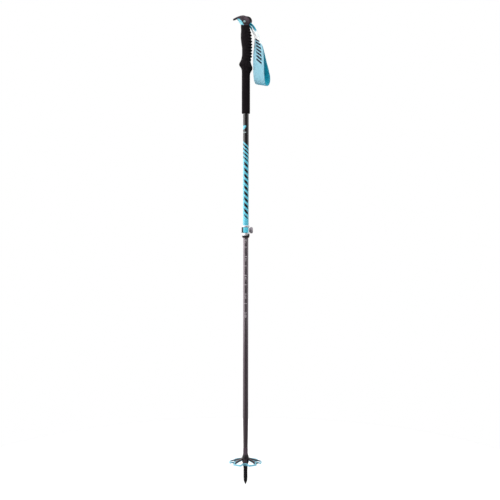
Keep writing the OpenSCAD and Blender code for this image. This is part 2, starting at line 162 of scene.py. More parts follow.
class Net:
    """The node tree of a material or world. A tuple of three numbers is an sRGB colour."""

    def __init__(self, owner):
        self.owner = owner
        owner.use_nodes = True
        self.tree = owner.node_tree
        self.tree.nodes.clear()

    def new(self, kind, **settings):
        node = self.tree.nodes.new(kind)
        for key, value in settings.items():
            setattr(node, key, value)
        return node

    def put(self, socket, value):
        if isinstance(value, Val):
            self.tree.links.new(value.socket, socket)
        elif isinstance(value, tuple) and len(value) == 3:
            socket.default_value = srgb(value)
        elif value is not None:
            socket.default_value = value

    def math(self, kind, *operands, clamp=False):
        node = self.new("ShaderNodeMath", operation=kind, use_clamp=clamp)
        for socket, operand in zip(node.inputs, operands):
            self.put(socket, operand)
        return Val(self, node.outputs[0])

    def split(self, socket):
        """The three parts of a vector."""
        node = self.new("ShaderNodeSeparateXYZ")
        self.tree.links.new(socket, node.inputs[0])
        return [Val(self, part) for part in node.outputs]

    @cached_property
    def place(self):
        """Object coordinates in millimetres."""
        source = self.new("ShaderNodeTexCoord")
        node = self.new("ShaderNodeVectorMath", operation="SCALE")
        node.inputs["Scale"].default_value = 1000.0
        self.tree.links.new(source.outputs["Object"], node.inputs[0])
        return Val(self, node.outputs[0])

    @cached_property
    def xyz(self):
        return self.split(self.place.socket)

    def strap_place(self):
        """The strap's own coordinates in millimetres: along and across."""
        node = self.new("ShaderNodeUVMap", uv_map="lay")
        along, across, _ = self.split(node.outputs[0])
        return along * 100.0, across * 100.0

    def vec(self, x, y, z):
        node = self.new("ShaderNodeCombineXYZ")
        for socket, part in zip(node.inputs, (x, y, z)):
            self.put(socket, part)
        return Val(self, node.outputs[0])

    def scaled(self, z_scale):
        """The place with z scaled, so that noise on it is drawn out along Z."""
        x, y, z = self.xyz
        return self.vec(x * 1.0, y * 1.0, z * z_scale)

    def noise(self, scale, vector=None, detail=3, rough=0.6):
        node = self.new("ShaderNodeTexNoise")
        self.put(node.inputs["Vector"], vector or self.place)
        node.inputs["Scale"].default_value = scale
        node.inputs["Detail"].default_value = detail
        node.inputs["Roughness"].default_value = rough
        return Val(self, node.outputs[0])

    def cells(self, scale):
        node = self.new("ShaderNodeTexVoronoi", feature="F1")
        self.put(node.inputs["Vector"], self.place)
        node.inputs["Scale"].default_value = scale
        return Val(self, node.outputs["Distance"])

    def mix(self, base, to, by):
        node = self.new("ShaderNodeMix", data_type="RGBA")
        for index, value in ((0, by), (6, base), (7, to)):
            self.put(node.inputs[index], value)
        return Val(self, node.outputs[2])

    def edges(self, radius):
        """Rounded-edge normal, and how much an edge lies within the radius."""
        bevel = self.new("ShaderNodeBevel", samples=4)
        bevel.inputs["Radius"].default_value = radius * MM
        geometry = self.new("ShaderNodeNewGeometry")
        dot = self.new("ShaderNodeVectorMath", operation="DOT_PRODUCT")
        self.tree.links.new(bevel.outputs[0], dot.inputs[0])
        self.tree.links.new(geometry.outputs["Normal"], dot.inputs[1])
        worn = Val(self, dot.outputs["Value"]).step(off=0.985, on=0.80)
        return Val(self, bevel.outputs[0]), worn

    def finish(self, base, rough, height, metallic=0.0, normal=None, **more):
        """Adds the shader, with a bump height in millimetres. Returns the material."""
        bump = self.new("ShaderNodeBump")
        bump.inputs["Strength"].default_value = 1.0
        bump.inputs["Distance"].default_value = MM
        self.put(bump.inputs["Height"], height)
        self.put(bump.inputs["Normal"], normal)
        shader = self.new("ShaderNodeBsdfPrincipled")
        output = self.new("ShaderNodeOutputMaterial")
        self.tree.links.new(shader.outputs[0], output.inputs[0])
        values = dict(Base_Color=base, Roughness=rough, Metallic=metallic,
                      Normal=Val(self, bump.outputs[0]), **more)
        for key, value in values.items():
            self.put(shader.inputs[key.replace("_", " ")], value)
        return self.owner


def material(name):
    return Net(bpy.data.materials.new(name))


# ------------------------------------------------------------------ general materials

def plastic(name, dark, light, wear, rough, grain=2.2, depth=0.02, edge=0.35, **more):
    """Moulded plastic: fine grain of a depth, uneven colour and rubbed edges."""
    net = material(name)
    fine = net.noise(scale=grain)
    broad = net.noise(scale=0.18, rough=0.55)
    normal, worn = net.edges(radius=edge)
    patch = net.noise(scale=0.7, detail=2, rough=0.5).step(off=0.35, on=0.7)
    base = broad.tones(dark, light).mix(to=wear, by=worn * patch * 0.75)
    return net.finish(base, rough=rough - 0.10 + 0.16 * broad + 0.06 * fine,
                      height=fine * depth, normal=normal, **more)


def metal(name, dark, light, rough, lines="x", metallic=1.0, edge=(236, 236, 238)):
    """Machined metal: fine lines that follow each other along x or z, stains, bright edges."""
    net = material(name)
    x, _, z = net.xyz
    vector = net.vec(x * 5.0, 0.0, 0.0) if lines == "x" else net.vec(0.0, 0.0, z * 5.0)
    line = net.noise(scale=1.0, vector=vector)
    stain = net.noise(scale=0.25, detail=4, rough=0.65)
    normal, worn = net.edges(radius=0.3)
    base = stain.tones(dark, light).mix(to=edge, by=worn * 0.6)
    return net.finish(base, rough=rough - 0.06 + 0.18 * stain + 0.05 * line, metallic=metallic,
                      height=line * 0.012, normal=normal)


# ------------------------------------------------------------------ mesh helpers

def tidy(mesh, sharp=35.0):
    """Points the faces outwards and shades them smooth up to an angle in degrees."""
    work = bmesh.new()
    work.from_mesh(mesh)
    bmesh.ops.recalc_face_normals(work, faces=work.faces)
    work.to_mesh(mesh)
    work.free()
    mesh.shade_smooth()
    mesh.set_sharp_from_angle(angle=math.radians(sharp))
    mesh.update()


def put_mesh(name, verts, faces, mats, face_mat=None, uvs=None, sharp=35.0):
    """An object from points in millimetres."""
    mesh = bpy.data.meshes.new(name)
    mesh.from_pydata((np.array(verts, float) * MM).tolist(), [], faces)
    mesh.update()
    ob = bpy.data.objects.new(name, mesh)
    scene.collection.objects.link(ob)
    for mat in mats:
        mesh.materials.append(mat)
    if face_mat is not None:
        mesh.polygons.foreach_set("material_index", np.array(face_mat, np.int32))
    if uvs is not None:
        layer = mesh.uv_layers.new(name="lay")
        loops = np.zeros(len(mesh.loops), np.int32)
        mesh.loops.foreach_get("vertex_index", loops)
        layer.data.foreach_set("uv", np.array(uvs, np.float32)[loops].ravel())
    tidy(mesh, sharp)
    return ob


def add_mesh(ob, verts, faces):
    """Adds more solids to the object's mesh."""
    work = bmesh.new()
    work.from_mesh(ob.data)
    added = [work.verts.new([float(part) * MM for part in vert]) for vert in verts]
    for face in faces:
        work.faces.new([added[i] for i in face])
    work.to_mesh(ob.data)
    work.free()
    ob.data.update()


def cut(ob, *cutters):
    """Takes the cutters' shapes out of the object's mesh."""
    for cutter in cutters:
        modifier = ob.modifiers.new("cut", "BOOLEAN")
        modifier.operation = "DIFFERENCE"
        modifier.solver = "EXACT"
        modifier.object = cutter
    graph = bpy.context.evaluated_depsgraph_get()
    mesh = bpy.data.meshes.new_from_object(ob.evaluated_get(graph), depsgraph=graph)
    ob.modifiers.clear()
    old = ob.data
    mesh.name = old.name
    ob.data = mesh
    bpy.data.meshes.remove(old)
    for cutter in cutters:
        data = cutter.data
        bpy.data.objects.remove(cutter)
        bpy.data.meshes.remove(data)


def register(ob, body, replaced=None):
    """Tells the frame which body the object rides on and the node it replaces."""
    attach(ob, body)
    if replaced:
        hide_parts(replaced)


def fillet(points, radii, closed=False, steps=5):
    """Rounds the corners of a profile. radii holds one radius for each point."""
    count = len(points)
    out = []
    for i, (point, radius) in enumerate(zip(points, radii)):
        if radius <= 0 or (not closed and i in (0, count - 1)):
            out.append(tuple(point))
            continue
        corner = np.array(point, float)
        back = np.array(points[i - 1], float) - corner
        ahead = np.array(points[(i + 1) % count], float) - corner
        back_len, ahead_len = np.linalg.norm(back), np.linalg.norm(ahead)
        back, ahead = back / back_len, ahead / ahead_len
        half = math.acos(max(-1, min(1, float(back @ ahead)))) / 2
        trim = min(radius / math.tan(half), back_len * 0.48, ahead_len * 0.48)
        start, end = corner + back * trim, corner + ahead * trim
        for k in range(steps + 1):
            t = k / steps
            out.append(tuple((1 - t) ** 2 * start + 2 * t * (1 - t) * corner + t ** 2 * end))
    return out


def revolve(profile, segments, closed=False):
    """Verts and faces of a profile of (radius, height) turned about Z."""
    verts, rows = [], []
    for radius, z in profile:
        if radius < 1e-6:
            rows.append([len(verts)] * segments)
            verts.append((0, 0, z))
        else:
            rows.append(list(range(len(verts), len(verts) + segments)))
            for k in range(segments):
                angle = 2 * math.pi * k / segments
                verts.append((radius * math.cos(angle), radius * math.sin(angle), z))
    pairs = list(zip(rows[:-1], rows[1:]))
    if closed:
        pairs.append((rows[-1], rows[0]))
    faces = []
    for low, high in pairs:
        for k in range(segments):
            after = (k + 1) % segments
            # a row on the axis holds one vertex many times, which gives a triangle
            faces.append(list(dict.fromkeys((low[k], low[after], high[after], high[k]))))
    return verts, faces


def loft(rings, loop=False, flip=False):
    """Verts and faces of a skin over rings of equal size. loop joins the last to the first."""
    count, size = len(rings), len(rings[0])
    faces = []
    for i in range(count if loop else count - 1):
        low, high = i * size, (i + 1) % count * size
        for k in range(size):
            after = (k + 1) % size
            if flip:
                faces.append([low + k, high + k, high + after, low + after])
            else:
                faces.append([low + k, low + after, high + after, high + k])
    return [point for ring in rings for point in ring], faces


def end_caps(rings):
    """Faces over the first and the last ring, in the order of their points."""
    size, total = len(rings[0]), len(rings) * len(rings[0])
    return list(range(size)), list(range(total - size, total))


def slab(rings):
    """A capped solid through the rings."""
    verts, sides = loft(rings, flip=True)
    first, last = end_caps(rings)
    return verts, [first, last[::-1]] + sides


def merge(parts):
    """Joins several (verts, faces) pairs."""
    verts, faces = [], []
    for part_verts, part_faces in parts:
        start = len(verts)
        verts.extend(part_verts)
        faces.extend([[i + start for i in face] for face in part_faces])
    return verts, faces


def squared(value, power):
    """A sine or cosine reshaped for a superellipse of a power: 2 is round, more is squarer."""
    return math.copysign(abs(value) ** (2 / power), value)


def spline(points, step):
    """A smooth open line through the points, and where they lie among its samples."""
    p = [np.array(point, float) for point in points]
    count = len(p)
    t = [0.0]
    for i in range(1, count):
        t.append(t[-1] + np.linalg.norm(p[i] - p[i - 1]) ** 0.5)
    slopes = [(p[1] - p[0]) / (t[1] - t[0])]
    for i in range(1, count - 1):
        before, after = t[i] - t[i - 1], t[i + 1] - t[i]
        slopes.append(((p[i] - p[i - 1]) / before * after + (p[i + 1] - p[i]) / after * before)
                      / (before + after))
    slopes.append((p[-1] - p[-2]) / (t[-1] - t[-2]))
    out, at = [], []
    for i in range(count - 1):
        span = t[i + 1] - t[i]
        samples = max(2, int(math.ceil(np.linalg.norm(p[i + 1] - p[i]) / step)))
        at.append(len(out))
        for j in range(samples):
            s = j / samples
            # cubic Hermite weights of the two points and their slopes
            h00 = 2 * s ** 3 - 3 * s ** 2 + 1
            h10 = s ** 3 - 2 * s ** 2 + s
            h01 = -2 * s ** 3 + 3 * s ** 2
            h11 = s ** 3 - s ** 2
            out.append(h00 * p[i] + h10 * span * slopes[i]
                       + h01 * p[i + 1] + h11 * span * slopes[i + 1])
    at.append(len(out))
    out.append(p[-1])
    return out, at


def smooth_line(points, step):
    """The samples of a spline as tuples."""
    return [tuple(point) for point in spline(points, step)[0]]


def inside(points, polygon):
    """Even-odd test for many points."""
    points, polygon = np.asarray(points, float), np.asarray(polygon, float)
    x, y = points[:, 0], points[:, 1]
    result = np.zeros(len(points), bool)
    for (xj, yj), (xi, yi) in zip(np.roll(polygon, 1, axis=0), polygon):
        rise = (yj - yi) if yj != yi else 1e-12
        result ^= ((yi > y) != (yj > y)) & (x < (xj - xi) * (y - yi) / rise + xi)
    return result


def far(points, line):
    """Distance from each point to an open line of points."""
    points, line = np.asarray(points, float), np.asarray(line, float)
    best = np.full(len(points), 1e9)
    for start, end in zip(line[:-1], line[1:]):
        run = end - start
        t = np.clip(((points - start) @ run) / float(run @ run), 0, 1)
        best = np.minimum(best, np.linalg.norm(points - start - t[:, None] * run, axis=1))
    return best


def soften(values, reach):
    """Weighted running mean."""
    kernel = np.hanning(2 * reach + 3)[1:-1]
    kernel /= kernel.sum()
    padded = np.concatenate([np.full(reach, values[0]), values, np.full(reach, values[-1])])
    return np.convolve(padded, kernel, "valid")


# ------------------------------------------------------------------ grip foam

# z, x of the foam's edge on the -X side
FOAM_FRONT = [
    (1219.4, -13.7), (1213, -13.3), (1207, -13.1), (1200, -13.8), (1189, -13.9), (1180, -13.0),
    (1170, -11.8), (1162, -10.4), (1150, -10.3), (1143, -10.4), (1135, -11.8), (1130, -12.9),
    (1125, -15.6), (1119.6, -18.2), (1117, -18.3), (1114, -17.1), (1111.6, -15.1),
    (1108.9, -13.2), (1106, -12.4), (1103.6, -11.4), (1101, -11.1), (1098, -11), (987, -11)]
# z, x of its edge on the +X side, without the ridges
FOAM_REAR = [
    (1219.4, 9.9), (1216, 10.6), (1211, 11.6), (1207, 11.7), (1200, 12.0), (1189, 12.1),
    (1180, 13.0), (1170, 13.2), (1162, 13.1), (1150, 12.9), (1143, 12.7), (1135, 12.3),
    (1130, 12.4), (1125, 12.8), (1119.6, 13.9), (1117, 15.2), (1114, 16.1), (1111.6, 17.1),
    (1108.9, 17.6), (1106, 17.3), (1103.6, 16.6), (1101, 15.3), (1098, 13.4), (1095.6, 12.2),
    (1093, 11.4), (1090, 11), (987, 11)]
# z, half width along Y
FOAM_SIDE = [
    (987, 11), (1093, 11), (1104, 13.4), (1111, 15.2), (1118, 15.6), (1131, 13.8),
    (1144, 13.2), (1166, 13.8), (1190, 14.2), (1206, 13.6), (1219.4, 12.7)]
# z of the ridges' crests on the +X side
CRESTS = [1203.2, 1195.2, 1187.1, 1179.2, 1171.1, 1163.2, 1155.1, 1146.8, 1138.8, 1130.8]
RIDGE_HEIGHT = 3.9
RIDGE_HALF = 4.1
FOAM_BOTTOM = 987
FOAM_TOP = 1219.4
FOAM_R = 11                     # plain lower length
FOAM_LIP = 2.2                  # rounding of the lower end
FOAM_LEAN = 2.6                 # drop of the top on the +X side
FOAM_SEGMENTS = 112
FOAM_BORE = SLEEVE_R + 0.05
FOAM_TUBE_BORE = 8.1


def foam_material():
    net = material("grip_foam_cells")
    z = net.xyz[2]
    cell = net.cells(scale=1.9)
    fine = net.noise(scale=5.0)
    broad = net.noise(scale=0.10)
    streak = net.noise(scale=0.7, vector=net.scaled(0.12))
    base = broad.tones(dark=(14, 9, 13), light=(22, 16, 20))
    base = base.mix(to=(34, 28, 32), by=streak.step(off=0.5, on=0.75) * 0.35)
    base = base.mix(to=(7, 5, 6), by=cell.step(off=0.30, on=0.05) * 0.5)
    # the ridges and the swell are rubbed a little lighter
    patch = net.noise(scale=0.22, detail=2, rough=0.5).step(off=0.45, on=0.75)
    worn = z.band(low=1096, high=1215, soft=6.0) * patch
    base = base.mix(to=(48, 43, 46), by=worn * 0.30)
    return net.finish(base, rough=0.72 + 0.12 * broad, Specular_IOR_Level=0.10,
                      height=cell.step(off=0.0, on=0.45) * 0.035 + fine * 0.012 + streak * 0.05)


def foam_ring(z, x_min, x_max, half_width, ridge=0.0, lean=0.0, grow=0.0):
    """One section. ridge pushes out the +X side, lean lowers it and grow offsets the ring."""
    centre, half = (x_min + x_max) / 2, (x_max - x_min) / 2 + grow
    out = []
    for k in range(FOAM_SEGMENTS):
        angle = 2 * math.pi * k / FOAM_SEGMENTS
        x = half * squared(math.cos(angle), 2.15)
        y = (half_width + grow) * squared(math.sin(angle), 2.15)
        window = min(1.0, max(0.0, (math.cos(angle) - 0.18) / 0.55))
        window = window * window * (3 - 2 * window)
        swell = 1 + ridge * window / half
        drop = lean * min(1.0, max(0.0, (centre + x - 2.0) / 9.0)) ** 1.5
        out.append((centre + x * swell, y * (1 + 0.25 * (swell - 1)), z - drop))
    return out


def foam_bore():
    """Rings down the bore: round for the sleeve and the tube, then the lower mouth."""
    rings = []
    for z, radius, lean in ((FOAM_TOP, FOAM_BORE, FOAM_LEAN), (1210, FOAM_BORE, 0.4),
                            (SLEEVE_BOTTOM, FOAM_BORE, 0), (SLEEVE_BOTTOM, FOAM_TUBE_BORE, 0),
                            (1000, FOAM_TUBE_BORE, 0), (987.6, FOAM_TUBE_BORE, 0)):
        ring = foam_ring(z, -radius, radius, radius, lean=lean)
        angles = [2 * math.pi * k / FOAM_SEGMENTS for k in range(FOAM_SEGMENTS)]
        rings.append([(radius * math.cos(angle), radius * math.sin(angle), point[2])
                      for angle, point in zip(angles, ring)])
    rings.append(foam_ring(FOAM_BOTTOM, -8.6, 8.6, 8.6))
    return rings


def build_foam():
    heights = np.arange(987.2, 1219.41, 0.6)

    def measured(table, reach):
        table = np.array(sorted(table), float)
        return soften(np.interp(heights, table[:, 0], table[:, 1]), reach)

    front = measured(FOAM_FRONT, 3)
    rear = measured(FOAM_REAR, 3)
    side = measured(FOAM_SIDE, 8)
    # the top and bottom ridges are lower than the rest
    shares = [0.55] + [1.0] * (len(CRESTS) - 2) + [0.5]
    ridge = np.zeros(len(heights))
    for crest, share in zip(CRESTS, shares):
        t = np.clip(np.abs(heights - crest) / RIDGE_HALF, 0, 1)
        ridge = np.maximum(ridge,
                           RIDGE_HEIGHT * share * (0.5 + 0.5 * np.cos(math.pi * t)) ** 0.85)
    rings = []
    # rounded lower end
    for t in (0.0, 0.15, 0.35, 0.6, 0.8, 1.0):
        angle = t * math.pi / 2
        radius = FOAM_R - FOAM_LIP * (1 - math.sin(angle))
        z = FOAM_BOTTOM + FOAM_LIP * (1 - math.cos(angle))
        rings.append(foam_ring(z, -radius, radius, radius))
    # the plain length needs only every eighth ring
    for i, z in enumerate(heights):
        if z < 992 or (z < 1088 and i % 8):
            continue
        lean = FOAM_LEAN * max(0.0, (z - 1208) / 11.4) ** 1.3
        rings.append(foam_ring(z, front[i], rear[i], side[i], ridge[i], lean))
    # narrowing upper lip
    for t in (0.35, 0.7, 1.0):
        rings.append(foam_ring(heights[-1] + 0.05, front[-1], rear[-1], side[-1],
                               lean=FOAM_LEAN, grow=-0.9 * t))
    verts, faces = loft(rings + foam_bore(), loop=True)
    ob = put_mesh("grip_foam_moulded", verts, faces, [foam_material()], sharp=50)
    register(ob, "upper_section", "grip_foam")


# ------------------------------------------------------------------ head, insert and wedge

# x, z of the head's outline seen along Y, from its foot on the +X side up and over to -X
REAR_LOW = [(8.8, 1219.5), (11.7, 1223.2), (14.1, 1227.0), (15.7, 1230.2)]
REAR_TOP = [(15.7, 1230.2), (16.5, 1233.0), (16.1, 1236.4), (13.8, 1240.9), (8.6, 1244.4),
            (2.3, 1245.6)]
CROWN = [(2.3, 1245.6), (-0.5, 1246.3), (-3.9, 1247.5), (-8.2, 1248.0), (-14.5, 1247.2),
         (-22.9, 1244.6), (-28.8, 1242.0), (-33.8, 1239.2), (-34.8, 1237.4), (-34.3, 1235.8),
         (-32.3, 1235.4), (-29.6, 1236.2), (-27.0, 1237.6), (-25.0, 1238.4)]
THROAT_FRONT = [(-25.0, 1238.4), (-23.5, 1238.2), (-21.9, 1235.9), (-19.0, 1232.0),
                (-16.2, 1227.6), (-14.3, 1223.6), (-13.5, 1219.5)]
# x, z of the seams between the head and the throat insert, and the head and the wedge
SEAM_THROAT = [(-25.0, 1238.4), (-23.4, 1239.2), (-20.4, 1238.2), (-17.1, 1236.3),
               (-13.8, 1233.2), (-11.0, 1229.8), (-8.3, 1225.9), (-6.1, 1222.3),
               (-5.4, 1220.7), (-5.9, 1219.5)]
SEAM_WEDGE = [(2.3, 1245.6), (2.1, 1242.4), (3.3, 1240.2), (5.5, 1238.7), (8.1, 1236.4),
              (9.7, 1233.8), (11.3, 1231.6), (15.7, 1230.2)]
# x, z of the strap channel, from its mouth on the +X side towards the pin
CHANNEL = [(7.4, 1217.5), (20.0, 1211.0), (27.0, 1221.5), (15.4, 1227.6), (11.0, 1229.2),
           (2.0, 1233.4), (-1.2, 1229.8), (5.2, 1224.2)]
CHANNEL_HALF = 10.3             # along Y
TONGUE_HALF = 7.0               # along Y
HEAD_STEP = 0.7                 # spacing of points along the outline and the seams
# kinds of inner mesh point, which are also their order of precedence
CAP, SEAM, OUTLINE, GRID = range(4)


def head_material():
    net = material("head_moulding")
    x, y, z = net.xyz
    pits = net.cells(scale=2.6)
    broad = net.noise(scale=0.16, detail=4, rough=0.65)
    patch = net.noise(scale=0.42)
    base = broad.tones(dark=(42, 33, 40), light=(70, 57, 67), off=0.35, on=0.68)
    base = base.mix(to=(92, 80, 90), by=patch.step(off=0.56, on=0.72) * 0.45)
    # painted highlight, lighter, on the flank on the +X side of the pin
    pin_side_highlight = distance(x, z, (1.2, 1235.6))
    base = base.mix(to=(90, 76, 86), by=pin_side_highlight.step(off=8.2, on=4.0) * 0.85)
    # painted shade in the recess round the pin cap
    recess_shade = distance(x, z, PIN).step(off=5.0, on=4.3) * y.abs().step(off=11.0, on=12.0)
    base = base.mix(to=(13, 11, 13), by=recess_shade)
    # painted light in patches on the top of the head, which is also smoother
    top = z.step(off=1240.0, on=1247.0)
    base = base.mix(to=(96, 84, 94), by=top * patch.step(off=0.4, on=0.7) * 0.35)
    normal, worn = net.edges(radius=0.4)
    base = base.mix(to=(110, 98, 106), by=worn * 0.35)
    return net.finish(base, rough=0.44 - 0.12 * top + 0.16 * patch,
                      height=pits.step(off=0.05, on=0.5) * 0.022 + patch * 0.05,
                      normal=normal, Specular_IOR_Level=0.3)


def throat_material():
    net = material("throat_soft_touch")
    x, y, z = net.xyz
    # rows of small round pips, staggered
    pitch = 2.2
    row = (z / pitch).floor()
    pip_y = ((y / pitch + row * 0.5).fract() - 0.5) * pitch
    pip_z = ((z / pitch).fract() - 0.5) * pitch
    pip = hypot(pip_y, pip_z).step(off=0.75, on=0.35) * y.abs().step(off=10.5, on=9.0)
    broad = net.noise(scale=0.15)
    base = broad.tones(dark=(126, 214, 232), light=(146, 228, 243))
    base = base.mix(to=(104, 200, 222), by=pip * 0.35)
    dirt = net.noise(scale=0.5, detail=4, rough=0.7)
    base = base.mix(to=(92, 150, 165), by=dirt.step(off=0.62, on=0.8) * 0.15)
    # the foot, below a curved line, is as dark as the head
    foot = z - 1220.3 - (x + 7.2) * (x + 7.2) * 0.075
    base = base.mix(to=(46, 37, 43), by=foot.step(off=0.3, on=-0.3))
    normal = net.edges(radius=0.35)[0]
    return net.finish(base, rough=0.48 + 0.1 * broad, normal=normal,
                      height=pip * 0.14 + net.noise(scale=3.0, rough=0.5) * 0.015,
                      Subsurface_Weight=0.12, Subsurface_Scale=0.002)


def head_width(x, z):
    """Half width along Y, which narrows towards the foot."""
    width = np.interp(x, [-34, -28, -20, -12, -4, 4, 11, 18],
                      [5.2, 7.2, 10.4, 12.7, 14.2, 14.6, 14.3, 13.6])
    s = np.clip((1230.0 - z) / 10.5, 0, 1)
    return width * (1 - 0.10 * s * s * (3 - 2 * s))


def head_round(x, z):
    """Radius of the rounding inwards from the outline."""
    radius = np.interp(x, [-34, -24, -12, 2, 18], [2.6, 4.2, 6.4, 7.2, 6.4])
    s = np.clip((z - 1221.0) / 12.0, 0, 1)
    return np.minimum(radius, 4.0 + (radius - 4.0) * s)


def beside(line, offsets, kind):
    """Candidates (point, spacing, kind) at offsets to the left of a line's points."""
    out = []
    for before, point, after in zip(line[:-2], line[1:-1], line[2:]):
        along = np.array(after) - np.array(before)
        along /= np.linalg.norm(along)
        left = np.array([-along[1], along[0]])
        out += [(np.array(point) + left * offset, abs(offset), kind) for offset in offsets]
    return out


def head_inner_points(ring, outline, seams):
    """Mesh points inside the outline, thinned so that none crowd each other."""
    found = beside(outline, (0.10, 0.34, 0.75, 1.35, 2.15, 3.2, 4.5, 6.0), OUTLINE)
    for seam in seams:
        found += beside(seam, (-0.75, -0.32, 0.32, 0.75), SEAM)
    for radius in (2.2, 3.35, 3.55, 4.1, 4.7, 5.1, 5.5):
        count = int(radius * 9)
        for k in range(count):
            angle = 2 * math.pi * k / count
            found.append((np.array([PIN[0] + radius * math.cos(angle),
                                    PIN[1] + radius * math.sin(angle)]), 0.25, CAP))
    pitch = 1.25
    for x in np.arange(-33, 18, pitch):
        for z in np.arange(1220.3, 1248, pitch):
            shift = 0.6 if int(z / pitch) % 2 else 0.0
            found.append((np.array([x + shift, z]), 0.9, GRID))
    points = np.array([item[0] for item in found])
    spacing = np.array([item[1] for item in found])
    kind = np.array([item[2] for item in found])

    to_seam = np.minimum(far(points, seams[0]), far(points, seams[1]))
    to_pin = np.hypot(points[:, 0] - PIN[0], points[:, 1] - PIN[1])
    allowed = inside(points, ring)
    allowed &= far(points, outline) > np.where(kind == OUTLINE, spacing * 0.93, 0.5)
    allowed &= np.abs(points[:, 1] - HEAD_FOOT) > 0.4
    allowed &= to_seam > np.where(kind == SEAM, spacing * 0.9, 0.5)
    allowed &= (kind == CAP) | (to_pin > 5.9)

    # least distance between neighbours, for each kind
    limit = np.array([0.12, 0.30, 0.30, 0.8])[kind] + np.where(kind == OUTLINE, 0.10 * spacing, 0)
    kept = np.zeros_like(points)
    count = 0
    for i in np.argsort(kind * 100 + spacing, kind="stable"):
        if not allowed[i]:
            continue
        if (((kept[:count] - points[i]) ** 2).sum(axis=1) < limit[i] * limit[i]).any():
            continue
        kept[count] = points[i]
        count += 1
    return kept[:count]


def head_layout():
    """The flat mesh in X and Z: points, triangles, distances and masks of insert and wedge."""
    samples, at = spline(REAR_LOW + REAR_TOP[1:] + CROWN[1:] + THROAT_FRONT[1:], HEAD_STEP)
    outline = [tuple(point) for point in samples]
    wedge_start = len(REAR_LOW) - 1
    wedge_end = wedge_start + len(REAR_TOP) - 1
    wedge_run = outline[at[wedge_start]:at[wedge_end] + 1]
    throat_run = outline[at[-len(THROAT_FRONT)]:]
    corner = SEAM_THROAT[-1]
    foot = [(x, HEAD_FOOT) for x in np.arange(-12.8, 8.4, HEAD_STEP)]
    foot = sorted([point for point in foot if abs(point[0] - corner[0]) > 0.3] + [corner])
    seam_throat = smooth_line(SEAM_THROAT, HEAD_STEP)
    seam_wedge = smooth_line(SEAM_WEDGE, HEAD_STEP)
    ring = outline + foot

    verts, index, edges = [], {}, set()

    def vertex(point):
        key = (round(point[0], 4), round(point[1], 4))
        if key not in index:
            index[key] = len(verts)
            verts.append((float(point[0]), float(point[1])))
        return index[key]

    for line in (ring + ring[:1], seam_throat, seam_wedge):
        ids = [vertex(point) for point in line]
        for pair in zip(ids, ids[1:]):
            edges.add(pair)
    inner = head_inner_points(ring, outline, (seam_throat, seam_wedge))
    corners = [Vector(point) for point in verts + inner.tolist()]
    result = delaunay_2d_cdt(corners, list(edges), [], 1, 1e-6)
    flat = np.array([[point[0], point[1]] for point in result[0]])
    triangles = [list(face) for face in result[2]]

    centres = np.array([flat[face].mean(0) for face in triangles])
    throat_foot = [point for point in foot if point[0] <= corner[0]]
    in_throat = inside(centres, throat_run + throat_foot + seam_throat[::-1])
    in_wedge = inside(centres, wedge_run + seam_wedge)
    to_outline = far(flat, outline)
    to_seam = np.minimum(far(flat, seam_throat), far(flat, seam_wedge))
    return flat, triangles, to_outline, to_seam, in_throat, in_wedge


def head_heights(flat, to_outline, to_seam):
    """Distance of the surface from the middle plane, on either side of it."""
    x, z = flat[:, 0], flat[:, 1]
    t = np.clip(to_outline / head_round(x, z), 0, 1)
    height = head_width(x, z) * np.sqrt(np.clip(1 - (1 - t) ** 2.15, 0, 1))
    # a groove along both seams
    groove = np.clip(1 - to_seam / 0.75, 0, 1)
    height = height - np.minimum(0.42 * groove * groove * (3 - 2 * groove), height * 0.25)
    # a round recess for the pin cap
    to_pin = np.hypot(x - PIN[0], z - PIN[1])
    return height - np.where(to_pin < 3.45, 1.0, np.clip((5.15 - to_pin) / 1.7, 0, 1) * 0.75)


def prism(name, polygon, half):
    """A cutter: a polygon in X and Z that reaches to half on either side of y = 0."""
    return put_mesh(name, *slab([[(x, y, z) for x, z in polygon] for y in (-half, half)]), [])


def tongue_outline(grow, top):
    """x, z of the wedge's tilted tongue, grown by a clearance."""
    return [(9.6 + 0.8 * across + 0.6 * up, 1238.2 - 0.6 * across + 0.8 * up)
            for across, up in ((-1.5 - grow, -11 - grow), (1.5 + grow, -11 - grow),
                               (1.5 + grow, top), (-1.5 - grow, top))]


def tongue():
    """The tongue as a solid with narrowed ends."""
    outline = fillet(tongue_outline(0.0, 0.6), [0.4] * 4, closed=True, steps=3)
    cx = sum(point[0] for point in outline) / len(outline)
    cz = sum(point[1] for point in outline) / len(outline)
    return slab([[(cx + (x - cx) * share, y, cz + (z - cz) * share) for x, z in outline]
                 for y, share in ((-TONGUE_HALF, 0.86), (0.3 - TONGUE_HALF, 1.0),
                                  (TONGUE_HALF - 0.3, 1.0), (TONGUE_HALF, 0.86))])


